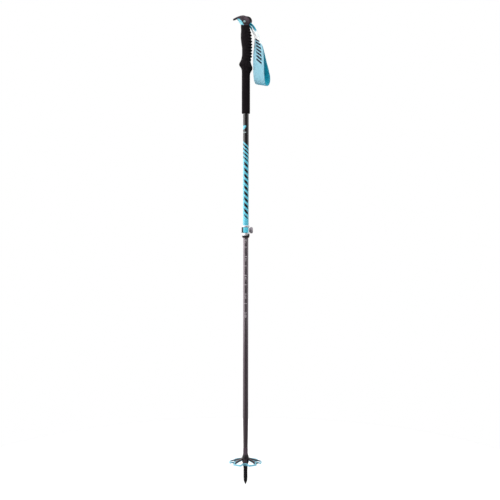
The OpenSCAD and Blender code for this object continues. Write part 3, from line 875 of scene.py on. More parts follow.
def build_head(head_mat, throat_mat, wedge_mat):
    """The head's shell, the throat insert below the beak and the wedge on the +X side."""
    flat, triangles, to_outline, to_seam, in_throat, in_wedge = head_layout()
    on_outline = to_outline < 1e-4
    heights = head_heights(flat, to_outline, to_seam)

    def build(name, mask, mat, shrink=0.0, proud=0.0):
        """One piece, drawn back from its seams by shrink and raised by proud."""
        faces = [face for face, chosen in zip(triangles, mask) if chosen]
        found = {}
        for face in faces:
            for pair in zip(face, face[1:] + face[:1]):
                found.setdefault(frozenset(pair), []).append(pair)
        walls = [pairs[0] for pairs in found.values() if len(pairs) == 1]
        walls = [(a, b) for a, b in walls if not (on_outline[a] and on_outline[b])]
        height = np.where(on_outline, 0, heights + proud * np.clip(to_outline, 0, 1))
        # the piece lies to the left of its border edges
        push = {}
        for a, b in walls:
            edge = flat[b] - flat[a]
            left = np.array([-edge[1], edge[0]]) / np.linalg.norm(edge)
            for i in (a, b):
                push.setdefault(i, []).append(left)
        place = flat.copy()
        for i, normals in push.items():
            inwards = np.mean(normals, axis=0)
            inwards /= max(np.linalg.norm(inwards), 1e-9)
            place[i] = flat[i] + inwards * shrink
        # points on the outline belong to both sides
        verts, near, back = [], {}, {}
        for i in sorted({i for face in faces for i in face}):
            x, z = place[i]
            near[i] = back[i] = len(verts)
            verts.append((x, -height[i], z))
            if not on_outline[i]:
                back[i] = len(verts)
                verts.append((x, height[i], z))
        skin = []
        for face in faces:
            skin.append([near[i] for i in face])
            skin.append([back[i] for i in reversed(face)])
        skin += [list(dict.fromkeys((near[b], near[a], back[a], back[b]))) for a, b in walls]
        return put_mesh(name, verts, skin, [mat], sharp=42)

    head = build("grip_head_shell", ~(in_throat | in_wedge), head_mat)
    throat = build("throat_insert_moulded", in_throat, throat_mat, shrink=0.05, proud=0.12)
    wedge = build("strap_wedge_moulded", in_wedge, wedge_mat, shrink=0.08, proud=0.15)
    cut(head, prism("channel_cut", CHANNEL, CHANNEL_HALF),
        prism("pocket_cut", tongue_outline(0.2, 3.0), TONGUE_HALF + 0.2))
    add_mesh(wedge, *tongue())
    # sleeve between the tube and the foam
    sleeve = fillet([(8.05, SLEEVE_BOTTOM), (SLEEVE_R, SLEEVE_BOTTOM), (SLEEVE_R, 1219.7),
                     (8.05, 1219.7)], [0.3, 0.3, 0, 0], closed=True, steps=3)
    add_mesh(head, *revolve(sleeve, 96, closed=True))
    for ob in (head, wedge):
        tidy(ob.data, 42)
    register(head, "upper_section", "grip_head")
    register(throat, "upper_section", "throat_insert")
    register(wedge, "strap_wedge", "strap_wedge")


def cap_material():
    net = material("pin_cap_plastic")
    x, _, z = net.xyz
    fine = net.noise(scale=2.2)
    base = fine.tones(dark=(144, 168, 171), light=(168, 192, 194), off=0.35)
    # darker outside the raised middle
    base = base.mix(to=(84, 94, 98), by=distance(x, z, PIN).step(off=2.5, on=3.1) * 0.8)
    normal, worn = net.edges(radius=0.3)
    base = base.mix(to=(170, 184, 186), by=worn * 0.25)
    return net.finish(base, rough=0.36 + 0.1 * fine, height=fine * 0.02, normal=normal,
                      Subsurface_Weight=0.08, Subsurface_Scale=0.001)


def build_caps():
    """Two domed caps with a turned-down rim, one at each end of the strap pin."""
    # radius, distance from the middle plane
    profile = fillet([(0, 14.55), (1.5, 14.5), (2.2, 14.25), (2.7, 14.45), (3.1, 14.4),
                      (3.32, 14.0), (3.32, 13.1), (0, 13.1)],
                     [0, 0.5, 0.4, 0.3, 0.3, 0.3, 0.1, 0], steps=4)
    verts, faces = revolve(profile, 56)
    parts = [([(PIN[0] + x, side * z, PIN[1] + y) for x, y, z in verts], faces)
             for side in (-1, 1)]
    ob = put_mesh("strap_pin_caps_domed", *merge(parts), [cap_material()], sharp=40)
    register(ob, "upper_section", "strap_pin_caps")


# ------------------------------------------------------------------ wrist strap

# x, y, z of the centreline, turn about Z in degrees, share of the full widening, downward
# lean of the strap's width. The first strand runs down from the head, the second one back up.
STATIONS = [
    (2.5, 0, 1226.8, 0, 0, 0), (7.2, -0.1, 1223.2, 1, 0, 0), (11.0, -0.3, 1219.4, 2, 0, 0),
    (14.6, -0.5, 1214.6, 4, 0, 0), (18.2, -1, 1208.4, 8, 0.03, 0), (23.2, -2, 1199.6, 13, 0.1, 0),
    (27.4, -3.2, 1190, 20, 0.25, 0), (30.3, -4.8, 1178, 32, 0.5, 0), (32.0, -7, 1166, 46, 0.75, 0),
    (32.8, -9, 1152, 58, 0.93, 0), (33.2, -10.3, 1136, 65, 1, 0.02), (33.5, -11, 1112, 68, 1, 0.06),
    (34.3, -11, 1088, 68, 1, 0.16), (36.2, -8.6, 1072.2, 68, 1, 0.22),
    (40.2, -1.5, 1064.8, 68, 1, 0.23), (46, 8.5, 1066, 68, 1, 0.2),
    (50.0, 16.5, 1075.4, 68, 1, 0.16), (50.5, 19, 1088, 68, 1, 0.12),
    (47.2, 15.6, 1104, 68, 1, 0.06), (41.4, 9.4, 1124, 67, 1, 0.02), (36.4, 4.8, 1146, 62, 0.95, 0),
    (32.2, 3.4, 1168, 52, 0.8, 0), (30.2, 4.4, 1182, 40, 0.6, 0), (28.6, 4.6, 1194, 28, 0.35, 0),
    (26.4, 3.6, 1204.4, 18, 0.15, 0), (23.4, 1.9, 1213, 9, 0.04, 0), (19.2, 0.7, 1219.8, 4, 0, 0),
    (14.2, 0.2, 1224.6, 1, 0, 0), (8.0, 0, 1227.7, 0, 0, 0), (2.0, 0, 1230.8, 0, 0, 0)]
# distance in from the strap's edge, half thickness: a rounded edge and a sunk seam
STRAP_EDGE = [(0, 0.0), (0.10, 0.42), (0.35, 0.72), (0.8, 0.92), (1.6, 0.98), (2.2, 0.86),
              (2.6, 0.80), (3.0, 0.86)]
SEAM_INSET, SEAM_HALF = STRAP_EDGE[6]
STITCH_PITCH = 3.2
STITCH_LENGTH = 2.3

STRAP = np.array(spline(STATIONS, 2.0)[0])
STRAP_U = np.concatenate([[0], np.cumsum(np.linalg.norm(np.diff(STRAP[:, :3], axis=0), axis=1))])
LOWEST = int(np.argmin(STRAP[:, 2]))


def u_at(z, strand):
    """Distance along the strap at which the first or second strand passes a height."""
    start, end = (0, LOWEST) if strand == 1 else (LOWEST, len(STRAP))
    return float(STRAP_U[start + int(np.argmin(np.abs(STRAP[start:end, 2] - z)))])


HALF_U = float(STRAP_U[LOWEST])
# lengths of the first and the second strand that carry a painted highlight
HIGHLIGHT_FIRST = (u_at(1211, 1), u_at(1193, 1))
HIGHLIGHT_SECOND = (u_at(1163, 2), u_at(1208, 2))
PRINT_START = u_at(1186, 1)


def webbing(side):
    """Woven webbing for the outer or inner side of the loop, or for the strap's edges."""
    net = material(f"webbing_{side}")
    u, across = net.strap_place()
    z = net.xyz[2]
    # plain weave: yarns along and across take turns on top
    pitch = 0.85
    wave_u = (u * (math.pi / pitch)).sin()
    wave_across = (across * (math.pi / pitch)).sin()
    over = (wave_u * wave_across).step(off=-0.25, on=0.25)
    yarn_u = 1.0 - ((across / pitch).fract() - 0.5).abs() * 2.0
    yarn_across = 1.0 - ((u / pitch).fract() - 0.5).abs() * 2.0
    cloth = over * yarn_u.pow(0.6) + (1.0 - over) * yarn_across.pow(0.6)
    fuzz = net.noise(scale=2.4, detail=4, rough=0.65)
    broad = net.noise(scale=0.07)
    blue = broad.tones(dark=(150, 208, 228), light=(162, 216, 234))
    teal = broad.tones(dark=(10, 176, 202), light=(38, 192, 216))
    # white of the painted highlight
    highlight_white = broad.tones(dark=(244, 248, 250), light=(250, 252, 253))
    first = u.step(off=HALF_U + 1.0, on=HALF_U - 1.0)       # 1 on the first strand
    # a painted highlight, white and glowing, on a length of each strand; on the first one it ends
    # on a slanted line
    slant = (across + 11.0) * 1.15
    start, end = HIGHLIGHT_FIRST
    highlight = u.step(start - 1.6, start + 1.6) * (u - slant).step(end + 1.2, end - 1.2)
    highlight = highlight + u.band(*HIGHLIGHT_SECOND, soft=1.6)
    # the painted highlight also glows
    painted_glow = highlight.clamp() * 0.22
    if side == "outer":
        # both strands are the same blue here
        base = blue.mix(to=blue, by=first).mix(to=highlight_white, by=highlight)
        base = base.mix(to=blue.mix(to=teal, by=0.5), by=u.step(off=26.0, on=18.0))
    elif side == "inner":
        base = teal.mix(to=highlight_white, by=highlight)
    else:
        base = teal.mix(to=blue, by=first * u.step(off=40.0, on=52.0))
        base = base.mix(to=highlight_white, by=highlight * 0.85)
    # painted shade, a deeper blue, in the bend of the loop
    if side != "inner":
        base = base.mix(to=(112, 198, 226), by=z.step(off=1069.0, on=1064.5) * 0.65)
    # seven dark slanted bars on the first strand
    if side == "outer":
        bar_pitch = 9.6
        run = u - PRINT_START - across * 0.9
        bar = ((run / bar_pitch).fract() * bar_pitch).band(low=0.6, high=6.2)
        zone = run.band(low=0.0, high=7 * bar_pitch, soft=0.1) * across.band(low=-5.4, high=9.4)
        ink = bar * zone * (0.9 + 0.1 * fuzz.step(off=0.2, on=0.4))
        base = base.mix(to=(30, 26, 46), by=ink)
        painted_glow = painted_glow * (1.0 - ink)
    # painted shade in the hollows of the weave, which are darker
    base = base.mix(to=base.mix(to=(40, 70, 84), by=0.55), by=cloth.step(off=0.55, on=0.05) * 0.22)
    grime = net.noise(scale=0.16, detail=4, rough=0.7)
    base = base.mix(to=(120, 128, 130), by=grime.step(off=0.58, on=0.75) * 0.10)
    return net.finish(base, rough=0.78 + 0.1 * fuzz, height=cloth * 0.10 + fuzz * 0.04,
                      Sheen_Weight=0.15, Sheen_Roughness=0.45, Specular_IOR_Level=0.3,
                      Emission_Color=(1.0, 1.0, 1.0, 1.0), Emission_Strength=painted_glow)


def thread_material():
    net = material("strap_thread")
    x, y, z = net.xyz
    uneven = net.noise(scale=4.0)
    twist = ((x + y + z * 1.7) * 6.0).sin()
    base = uneven.tones(dark=(176, 222, 236), light=(206, 238, 247))
    return net.finish(base, rough=0.65 + 0.1 * uneven, height=twist * 0.02, Sheen_Weight=0.2)


def strap_frames():
    """Centre, direction, width direction and normal at each sample. N points into the loop."""
    centre = STRAP[:, :3]
    along = np.gradient(centre, axis=0)
    along /= np.linalg.norm(along, axis=1)[:, None]
    turn = np.radians(STRAP[:, 3])
    across = np.stack([np.sin(turn), -np.cos(turn), -STRAP[:, 5]], axis=1)
    across = across - (across * along).sum(1)[:, None] * along
    across /= np.linalg.norm(across, axis=1)[:, None]
    return centre, across, np.cross(across, along)


def strap_width(share):
    return 19 + 12 * float(np.clip(share, 0, 1)) - 0.1


def strap_section(width):
    """The closed section as (across, along the normal), outer side first."""
    half = width / 2
    flat = half - 3.6
    edge = [(-half + inset, thick) for inset, thick in STRAP_EDGE]
    top = edge + [(x, 1.02 + 0.12 * (1 - (x / flat) ** 2)) for x in np.linspace(-flat, flat, 9)]
    top += [(-x, thick) for x, thick in reversed(edge)]
    return [(x, -thick) for x, thick in top] + top[-2:0:-1]


def strap_mesh(centre, across, normal):
    """Verts, faces, material indices and UVs of the webbing."""
    rings, uvs = [], []
    for i in range(len(centre)):
        section = strap_section(strap_width(STRAP[i, 4]))
        rings.append([centre[i] + across[i] * x + normal[i] * thick for x, thick in section])
        uvs += [(STRAP_U[i] / 100.0, x / 100.0) for x, _ in section]
    verts, faces = loft(rings)
    size = len(rings[0])
    side = size // 2
    outer, inner, edge = 0, 1, 2
    around = [edge if k % side in (0, 1, side - 2, side - 1) else outer if k < side else inner
              for k in range(size)]
    first, last = end_caps(rings)
    face_mat = around * (len(rings) - 1) + [edge, edge]
    return verts, faces + [first[::-1], last], face_mat, uvs


def stitches(centre, across, normal):
    """A row of threads near each edge of both faces; each rises in its middle."""
    def at(u, columns):
        return np.array([np.interp(u, STRAP_U, column) for column in columns.T])

    def unit(vector):
        return vector / np.linalg.norm(vector)

    parts = []
    middle, end = u_at(1212, 1), u_at(1214, 2)
    while middle < end:
        for side, face in ((-1, -1), (-1, 1), (1, -1), (1, 1)):
            rings = []
            for j in range(6):
                t = j / 5
                u = middle + (t - 0.5) * STITCH_LENGTH
                wide, out = unit(at(u, across)), unit(at(u, normal))
                width = strap_width(at(u, STRAP[:, 4:5])[0])
                lift = SEAM_HALF + 0.17 * math.sin(math.pi * t) - 0.04
                spot = at(u, centre) + wide * side * (width / 2 - SEAM_INSET) + out * face * lift
                radius = 0.23 * (0.75 + 0.25 * math.sin(math.pi * t))
                angles = [2 * math.pi * k / 6 for k in range(6)]
                rings.append([spot + wide * radius * math.cos(angle)
                              + out * radius * 0.8 * math.sin(angle) for angle in angles])
            verts, faces = loft(rings)
            first, last = end_caps(rings)
            parts.append((verts, [first[::-1]] + faces + [last]))
        middle += STITCH_PITCH
    return merge(parts)


def build_strap():
    mats = [webbing(side) for side in ("outer", "inner", "edge")]
    thread = thread_material()
    frames = strap_frames()
    verts, faces, face_mat, uvs = strap_mesh(*frames)
    strap = put_mesh("wrist_strap_webbing", verts, faces, mats, face_mat, uvs, sharp=60)
    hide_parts("wrist_strap")
    seams = put_mesh("wrist_strap_stitching", *stitches(*frames), [thread], sharp=80)
    for ob in (strap, seams):
        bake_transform(ob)


# ------------------------------------------------------------------ basket

# radius, z of the basket's domed top before it is softened
DOME = np.array([[0, 75.2], [7, 72.0], [12, 69.5], [16, 67.9], [25, 64.8], [34, 62.3],
                 [46, 59.2], [50, 58.2]])
DOME_R = np.linspace(0, 50, 201)
DOME_Z = soften(np.interp(DOME_R, DOME[:, 0], DOME[:, 1]), 14)

ARM_AZIMUTHS = [math.radians(27.7 + 60 * k) for k in range(6)]
NOTCH_D = 43.0                  # distance of the notches' centres from the axis
NOTCH_R = 8.5
PETAL_R = 43.5
RIM_INSET = 1.8                 # from the outline to the middle of the rim's section
ARM_HALF = 1.42                 # half thickness of an arm away from the hub
# x, half width of an arm before its end is fitted to the notch
ARM_EDGE = [(6.8, 4.5), (12.5, 4.25), (19.0, 3.95), (25.0, 4.9), (30.0, 7.45), (34.0, 10.35),
            (37.5, 12.8)]


def dome_z(x, y):
    return float(np.interp(math.hypot(x, y), DOME_R, DOME_Z))


def turned(x, y, angle):
    """A point turned about Z."""
    cos, sin = math.cos(angle), math.sin(angle)
    return x * cos - y * sin, x * sin + y * cos


def rim_material():
    net = material("basket_rim_soft")
    x, y, _ = net.xyz
    broad = net.noise(scale=0.09)
    fine = net.noise(scale=2.5)
    base = broad.tones(dark=(102, 168, 190), light=(118, 182, 202))
    scuff = net.noise(scale=0.55, detail=4, rough=0.7)
    outer = hypot(x, y).step(off=38.0, on=43.0)
    base = base.mix(to=(84, 132, 150), by=scuff.step(off=0.60, on=0.74) * outer * 0.35)
    base = base.mix(to=(205, 230, 236), by=scuff.step(off=0.68, on=0.76) * 0.30)
    return net.finish(base, rough=0.36 + 0.12 * broad + 0.06 * fine,
                      height=fine * 0.02 + scuff * 0.03,
                      Subsurface_Weight=0.15, Subsurface_Scale=0.002)


def hub_material():
    net = material("basket_hub_moulded")
    x, y, _ = net.xyz
    pits = net.cells(scale=2.4)
    broad = net.noise(scale=0.12, detail=4)
    base = broad.tones(dark=(17, 12, 16), light=(28, 21, 26))
    # painted light on the arms: lighter away from the middle of the hub
    base = base.mix(to=(62, 46, 55), by=hypot(x, y).step(off=10.0, on=17.0) * 0.40)
    scrape = net.noise(scale=0.6, detail=4, rough=0.7)
    base = base.mix(to=(88, 74, 82), by=scrape.step(off=0.62, on=0.74) * 0.2)
    normal, worn = net.edges(radius=0.4)
    base = base.mix(to=(96, 82, 90), by=worn * 0.3)
    return net.finish(base, rough=0.30 + 0.12 * broad, normal=normal, Specular_IOR_Level=0.22,
                      height=pits.step(off=0.0, on=0.5) * 0.012 + scrape * 0.02)


def petal_midline(inset, rounding):
    """The scalloped outline of the basket, taken in by inset, with rounded corners."""
    notch, petal = NOTCH_R + inset, PETAL_R - inset
    # angle about the axis at which the notch meets the petal, and the same about the notch
    lean = math.acos((petal ** 2 + NOTCH_D ** 2 - notch ** 2) / (2 * petal * NOTCH_D))
    turn = math.atan2(petal * math.sin(lean), NOTCH_D - petal * math.cos(lean))
    points = []
    for azimuth in ARM_AZIMUTHS:
        for t in np.linspace(-turn, turn, 60):
            points.append(turned(NOTCH_D - notch * math.cos(t), notch * math.sin(t), azimuth))
        for t in np.linspace(lean, math.pi / 3 - lean, 60)[1:-1]:
            points.append((petal * math.cos(azimuth + t), petal * math.sin(azimuth + t)))
    points = np.array(points + [points[0]])
    run = np.concatenate([[0], np.cumsum(np.linalg.norm(np.diff(points, axis=0), axis=1))])
    count = 900
    at = np.linspace(0, run[-1], count, endpoint=False)
    even = np.stack([np.interp(at, run, points[:, 0]), np.interp(at, run, points[:, 1])], axis=1)
    half = int(round(rounding / (run[-1] / count)))
    for _ in range(2):
        total = np.zeros_like(even)
        for j in range(-half, half + 1):
            total += np.roll(even, j, axis=0)
        even = total / (2 * half + 1)
    return even


def rim_loop():
    """The scalloped ring that closes the basket."""
    middle = petal_midline(RIM_INSET, rounding=1.5)
    along = np.roll(middle, -1, axis=0) - np.roll(middle, 1, axis=0)
    along /= np.linalg.norm(along, axis=1)[:, None]
    outwards = np.stack([along[:, 1], -along[:, 0]], axis=1)
    rings = []
    for i in range(len(middle)):
        ring = []
        for k in range(20):
            angle = 2 * math.pi * k / 20
            x, y = middle[i] + outwards[i] * 1.76 * squared(math.cos(angle), 3.4)
            ring.append((x, y, dome_z(x, y) - 1.0 + 1.97 * squared(math.sin(angle), 3.4)))
        rings.append(ring)
    return loft(rings, loop=True, flip=True)


def six_bars(bar_rings):
    """Capped bars at the six arm azimuths, from rings drawn along +X."""
    parts = []
    for azimuth in ARM_AZIMUTHS:
        rings = [[(*turned(x, y, azimuth), z) for x, y, z in ring] for ring in bar_rings]
        verts, faces = loft(rings)
        first, last = end_caps(rings)
        parts.append((verts, faces + [first, last[::-1]]))
    return parts


def rib_rings():
    """A rib under an arm, with rounded ends."""
    rings = []
    for x in np.concatenate([[10.0, 10.12, 10.4], np.linspace(11, 32, 26), [32.6, 32.88, 33.0]]):
        half = float(np.interp(x, [9.9, 20, 27, 33], [2.95, 2.75, 4.15, 5.95]))
        past = max(0.0, (10.7 - x) / 0.75, (x - 32.3) / 0.75)
        end = min(1.0, math.sqrt(max(0.0, 1 - past ** 2)) + 0.35)
        ring = []
        for k in range(24):
            angle = 2 * math.pi * k / 24
            y = half * squared(math.cos(angle), 5.0) * (0.9 + 0.1 * end)
            height = squared(math.sin(angle), 3.2) * 1.24 * end
            ring.append((x, y, dome_z(x, y) - 4.12 + height))
        rings.append(ring)
    return rings


def arm_rings():
    """An arm that widens towards two petal corners, thickest where it leaves the hub."""
    edge = np.array(spline(ARM_EDGE, 1.0)[0])
    end_x, end_half = edge[-1]
    # x of the arm's end against y, along the inner side of the rim
    end_y = np.linspace(0, 11.15, 100)
    end_line = [NOTCH_D - math.sqrt((NOTCH_R + 2 * RIM_INSET) ** 2 - y * y) for y in end_y]
    end_y = np.append(end_y, 13.0)
    end_line.append(37.7)
    rings = []
    for along, half in edge:
        grow = np.clip((along - 20.0) / (end_x - 20.0), 0, 1)
        thick = ARM_HALF + 1.5 * math.exp(-max(along - 9.0, 0) / 3.2)
        ring = []
        for k in range(36):
            angle = 2 * math.pi * k / 36
            share = squared(math.cos(angle), 5.5 if half < 6 else 9.0)
            y = half * share
            reach = float(np.interp(abs(end_half * share), end_y, end_line)) - end_x
            x = along + reach * grow ** 1.4 + 0.45 * grow
            height = squared(math.sin(angle), 4.0) * thick
            ring.append((x, y, dome_z(x, y) - 1.5 + height - (thick - ARM_HALF) * 0.35))
        rings.append(ring)
    return rings


def build_rim():
    parts = [rim_loop()] + six_bars(rib_rings())
    ob = put_mesh("basket_rim_moulded", *merge(parts), [rim_material()], sharp=40)
    register(ob, "basket", "basket_rim")


def build_hub():
    profile = fillet([(6.06, 57.0), (7.4, 57.0), (8.7, 60.0), (9.5, 64.0), (9.5, 70.0),
                      (9.1, 73.2), (7.6, 77.8), (7.1, 79.0), (6.06, 79.0)],
                     [0.2, 0.8, 1.5, 2.5, 2.5, 2.0, 1.5, 0.4, 0.1], closed=True)
    ob = put_mesh("basket_hub_moulded", *revolve(profile, 112, closed=True), [hub_material()])
    # a shallow round dimple on the -Y side
    bowl = fillet([(0, 1.0), (2.9, 1.0), (2.3, -0.35), (1.9, -1.15), (0, -1.25)],
                  [0, 0, 0.4, 0.4, 0], steps=4)
    verts, faces = revolve(bowl, 48)
    cut(ob, put_mesh("dimple_cut", [(x, -9.3 - z, 72.6 + y) for x, y, z in verts], faces, []))
    add_mesh(ob, *merge(six_bars(arm_rings())))
    tidy(ob.data, 40)
    register(ob, "basket", "basket_hub")


# ------------------------------------------------------------------ tubes and tip

def upper_tube_material():
    net = material("tube_lacquer")
    x, y, z = net.xyz
    around = bearing(x, y) * UPPER_TUBE_R

    def helix(starts, pitch):
        """A height that climbs by so many pitches in one turn."""
        return z + around * (starts * pitch / (2 * math.pi * UPPER_TUBE_R))

    stripe_pitch = 10.75
    stripes_top = 905.8
    level = helix(4, stripe_pitch)
    flake = net.noise(scale=9.0, detail=2, rough=0.5)
    broad = net.noise(scale=0.05)
    turquoise = broad.tones(dark=(86, 190, 214), light=(96, 198, 221))
    black = flake.tones(dark=(11, 8, 11), light=(17, 13, 16), off=0.4)
    # diagonal stripes that widen downwards, then the turquoise ground
    phase = ((stripes_top - level) / stripe_pitch).fract() * stripe_pitch
    widening = ((stripes_top - level) / (4 * stripe_pitch)).clamp() * 1.2
    stripe = (phase - widening).step(off=5.1, on=4.9)
    top = level.step(off=stripes_top + 0.15, on=stripes_top - 0.15)
    ground = level.step(off=863.0, on=862.7)
    colour = (stripe * top).max(ground)
    # plain slanted bars along the ground
    bar_pitch = 15.5
    bars_top = 855.0
    bar_level = helix(3, bar_pitch)
    bars = (((bars_top - bar_level) / bar_pitch).fract() * bar_pitch).band(low=0.0, high=8.2)
    reach = around.band(low=-5.2, high=6.9) * bar_level.band(low=711.0, high=bars_top)
    bars = bars * reach
    # small block with a slanted side above the stripes, and a thin dash below it
    block = around.band(low=-10.6, high=0.4) * z.band(low=944.6, high=954.8)
    block = block * (1.0 - (around - (z - 950.0) * 0.9).step(off=-0.4, on=-0.1))
    dash = around.band(low=-8.0, high=0.8) * z.band(low=935.2, high=937.6, soft=0.1)
    colour = colour.max(block) * (1.0 - bars)
    base = black.mix(to=turquoise, by=colour)
    base = base.mix(to=(12, 10, 15), by=bars * ground)
    base = base.mix(to=(150, 168, 170), by=dash)
    # fine long scratches, and rubbed lacquer near the lower end
    scratch = net.noise(scale=1.0, vector=net.vec(around * 2.4, z * 0.07, 0.0),
                        detail=4, rough=0.7)
    scuff = scratch.step(off=0.66, on=0.72) * 0.16
    base = base.mix(to=(170, 176, 178), by=scuff)
    patch = net.noise(scale=0.45, detail=4, rough=0.65).step(off=0.56, on=0.68)
    base = base.mix(to=(190, 214, 220), by=z.step(off=712.0, on=690.0) * patch * 0.25)
    return net.finish(base, rough=0.19 + 0.08 * broad + scuff * 0.8 + 0.05 * colour,
                      height=scratch * 0.006 + colour * 0.012, Coat_Weight=0.5,
                      Coat_Roughness=0.06, Specular_IOR_Level=0.5)


def lower_tube_material():
    net = material("tube_anodised")
    x, y, z = net.xyz
    around = bearing(x, y) * LOWER_TUBE_R
    brush = net.noise(scale=1.0, vector=net.vec(around * 3.0, z * 0.05, 0.0),
                      detail=4, rough=0.65)
    broad = net.noise(scale=0.03)
    base = brush.tones(dark=(112, 103, 109), light=(134, 125, 130), off=0.25, on=0.75)
    base = base.mix(to=(104, 95, 101), by=broad.step(off=0.35, on=0.75) * 0.35)
    # painted shade, darker towards the foot
    base = base.mix(to=(84, 72, 79), by=z.step(off=460.0, on=330.0) * 0.6)
    # rubbed streaks along the upper length
    streak = net.noise(scale=1.0, vector=net.vec(around * 1.2, z * 0.012, 3.0),
                       detail=4, rough=0.7)
    run = z.band(low=470, high=930, soft=14.0) * streak.step(off=0.55, on=0.72)
    base = base.mix(to=(150, 145, 148), by=run * 0.30)
    # knocks near the foot
    knock = net.noise(scale=0.9, detail=4, rough=0.75).step(off=0.70, on=0.76)
    knock = knock * z.step(off=260.0, on=110.0)
    base = base.mix(to=(178, 174, 176), by=knock * 0.6)

    # printed length scale: a mark at each number, and a shorter one half way
    pitch = SCALE_STEP * 10.0

    def marks(start, half_length):
        phase = (((z - start) / pitch + 0.5).fract() - 0.5) * pitch
        return (phase.band(low=-0.55, high=0.55, soft=0.08)
                * around.band(low=-half_length, high=half_length, soft=0.1))

    ticks = marks(SCALE_FIRST_Z, 3.6).max(marks(SCALE_FIRST_Z + pitch / 2, 3.0))
    ticks = ticks * z.band(low=450.0, high=862.0, soft=0.2)
    base = base.mix(to=(196, 190, 194), by=ticks)
    return net.finish(base, rough=0.26 + 0.08 * brush + ticks * 0.2,
                      metallic=0.85 - ticks * 0.8, height=brush * 0.010 + ticks * 0.01,
                      Anisotropic=0.35)


def ferrule_material():
    net = material("ferrule_plastic")
    z = net.xyz[2]
    fine = net.noise(scale=3.0)
    speck = net.cells(scale=1.15)
    base = fine.tones(dark=(20, 17, 20), light=(30, 26, 30), off=0.35)
    upper = fine.tones(dark=(60, 49, 57), light=(76, 64, 72), off=0.35)
    base = base.mix(to=upper, by=z.step(off=78.5, on=80.5))
    specks = speck.step(off=0.30, on=0.18) * z.band(low=80.5, high=97.5, soft=1.2)
    base = base.mix(to=(120, 108, 118), by=specks * 0.22)
    scrape = net.noise(scale=0.9, vector=net.scaled(0.25), detail=4, rough=0.7)
    base = base.mix(to=(86, 80, 84),
                    by=scrape.step(off=0.60, on=0.75) * z.step(off=62.0, on=18.0) * 0.45)
    normal, worn = net.edges(radius=0.4)
    base = base.mix(to=(90, 84, 88), by=worn * 0.4)
    return net.finish(base, rough=0.30 + 0.12 * fine, height=fine * 0.02 + scrape * 0.03,
                      normal=normal, Specular_IOR_Level=0.1)


def tip_material():
    net = material("tip_steel")
    z = net.xyz[2]
    ring = net.noise(scale=1.0, vector=net.vec(0.0, 0.0, z * 3.0))
    pit = net.noise(scale=1.6, detail=4, rough=0.7)
    base = pit.tones(dark=(48, 44, 44), light=(84, 80, 78), off=0.35)
    # bright point, brown stains, bright edges
    base = base.mix(to=(170, 168, 165), by=z.step(off=4.0, on=0.3) * 0.8)
    base = base.mix(to=(92, 66, 48), by=pit.step(off=0.62, on=0.72) * 0.25)
    normal, worn = net.edges(radius=0.3)
    base = base.mix(to=(160, 158, 155), by=worn * 0.5)
    return net.finish(base, rough=0.34 + 0.22 * pit, metallic=0.9,
                      height=ring * 0.02 + pit * 0.03, normal=normal)


def ink_material():
    net = material("scale_ink")
    uneven = net.noise(scale=2.5)
    base = uneven.tones(dark=(176, 170, 174), light=(206, 200, 204), on=0.65)
    return net.finish(base, rough=0.55 + 0.1 * uneven, height=uneven * 0.01)


def text_mesh(name, text):
    """A thin mesh of centred text."""
    curve = bpy.data.curves.new(name, "FONT")
    curve.body = text
    curve.size = 6.2
    curve.align_x = "CENTER"
    curve.align_y = "CENTER"
    curve.extrude = 0.018
    holder = bpy.data.objects.new(name, curve)
    scene.collection.objects.link(holder)
    graph = bpy.context.evaluated_depsgraph_get()
    mesh = bpy.data.meshes.new_from_object(holder.evaluated_get(graph), depsgraph=graph)
    bpy.data.objects.remove(holder)
    bpy.data.curves.remove(curve)
    return mesh


def build_numbers():
    """Scale numbers that read upwards, wrapped on the -Y side of the lower tube."""
    mat = ink_material()
    for mark in range(SCALE_FIRST, SCALE_LAST + 1, SCALE_STEP):
        mesh = text_mesh(f"digits_{mark}", str(mark))
        work = bmesh.new()
        work.from_mesh(mesh)
        bmesh.ops.remove_doubles(work, verts=work.verts, dist=1e-4)
        # cuts along the text, so that it can bend round the tube
        for y in np.arange(-3.0, 3.01, 0.4):
            bmesh.ops.bisect_plane(work, geom=work.verts[:] + work.edges[:] + work.faces[:],
                                   plane_co=(0, float(y), 0), plane_no=(0, 1, 0))
        middle = SCALE_FIRST_Z + (mark - SCALE_FIRST) * 10 - 8.6
        for vert in work.verts:
            x, y, z = vert.co
            radius = LOWER_TUBE_R + 0.026 + z
            angle = -y * 0.95 / LOWER_TUBE_R
            vert.co = Vector((radius * math.sin(angle), -radius * math.cos(angle),
                              middle + x)) * MM
        bmesh.ops.recalc_face_normals(work, faces=work.faces)
        work.to_mesh(mesh)
        work.free()
        mesh.materials.clear()
        mesh.materials.append(mat)
        mesh.name = f"scale_number_{mark}"
        ob = bpy.data.objects.new(f"scale_number_{mark}", mesh)
        scene.collection.objects.link(ob)
        register(ob, "lower_section")


# ------------------------------------------------------------------ CAD nodes kept

def dress(name, mat, bevel=0.0):
    """Gives a CAD node a material and, if bevel is not 0, rounded edges."""
    ob = NODES[name]
    mesh = ob.data
    mesh.materials.clear()
    mesh.materials.append(mat)
    mesh.polygons.foreach_set("material_index", np.zeros(len(mesh.polygons), np.int32))
    if bevel:
        weld = ob.modifiers.new("weld", "WELD")
        weld.merge_threshold = 2e-6
        flat = ob.modifiers.new("flat", "DECIMATE")
        flat.decimate_type = "DISSOLVE"
        flat.angle_limit = math.radians(1.2)
        edges = ob.modifiers.new("round", "BEVEL")
        edges.width = bevel * MM
        edges.segments = 3
        edges.limit_method = "ANGLE"
        edges.angle_limit = math.radians(28.0)
        edges.use_clamp_overlap = True


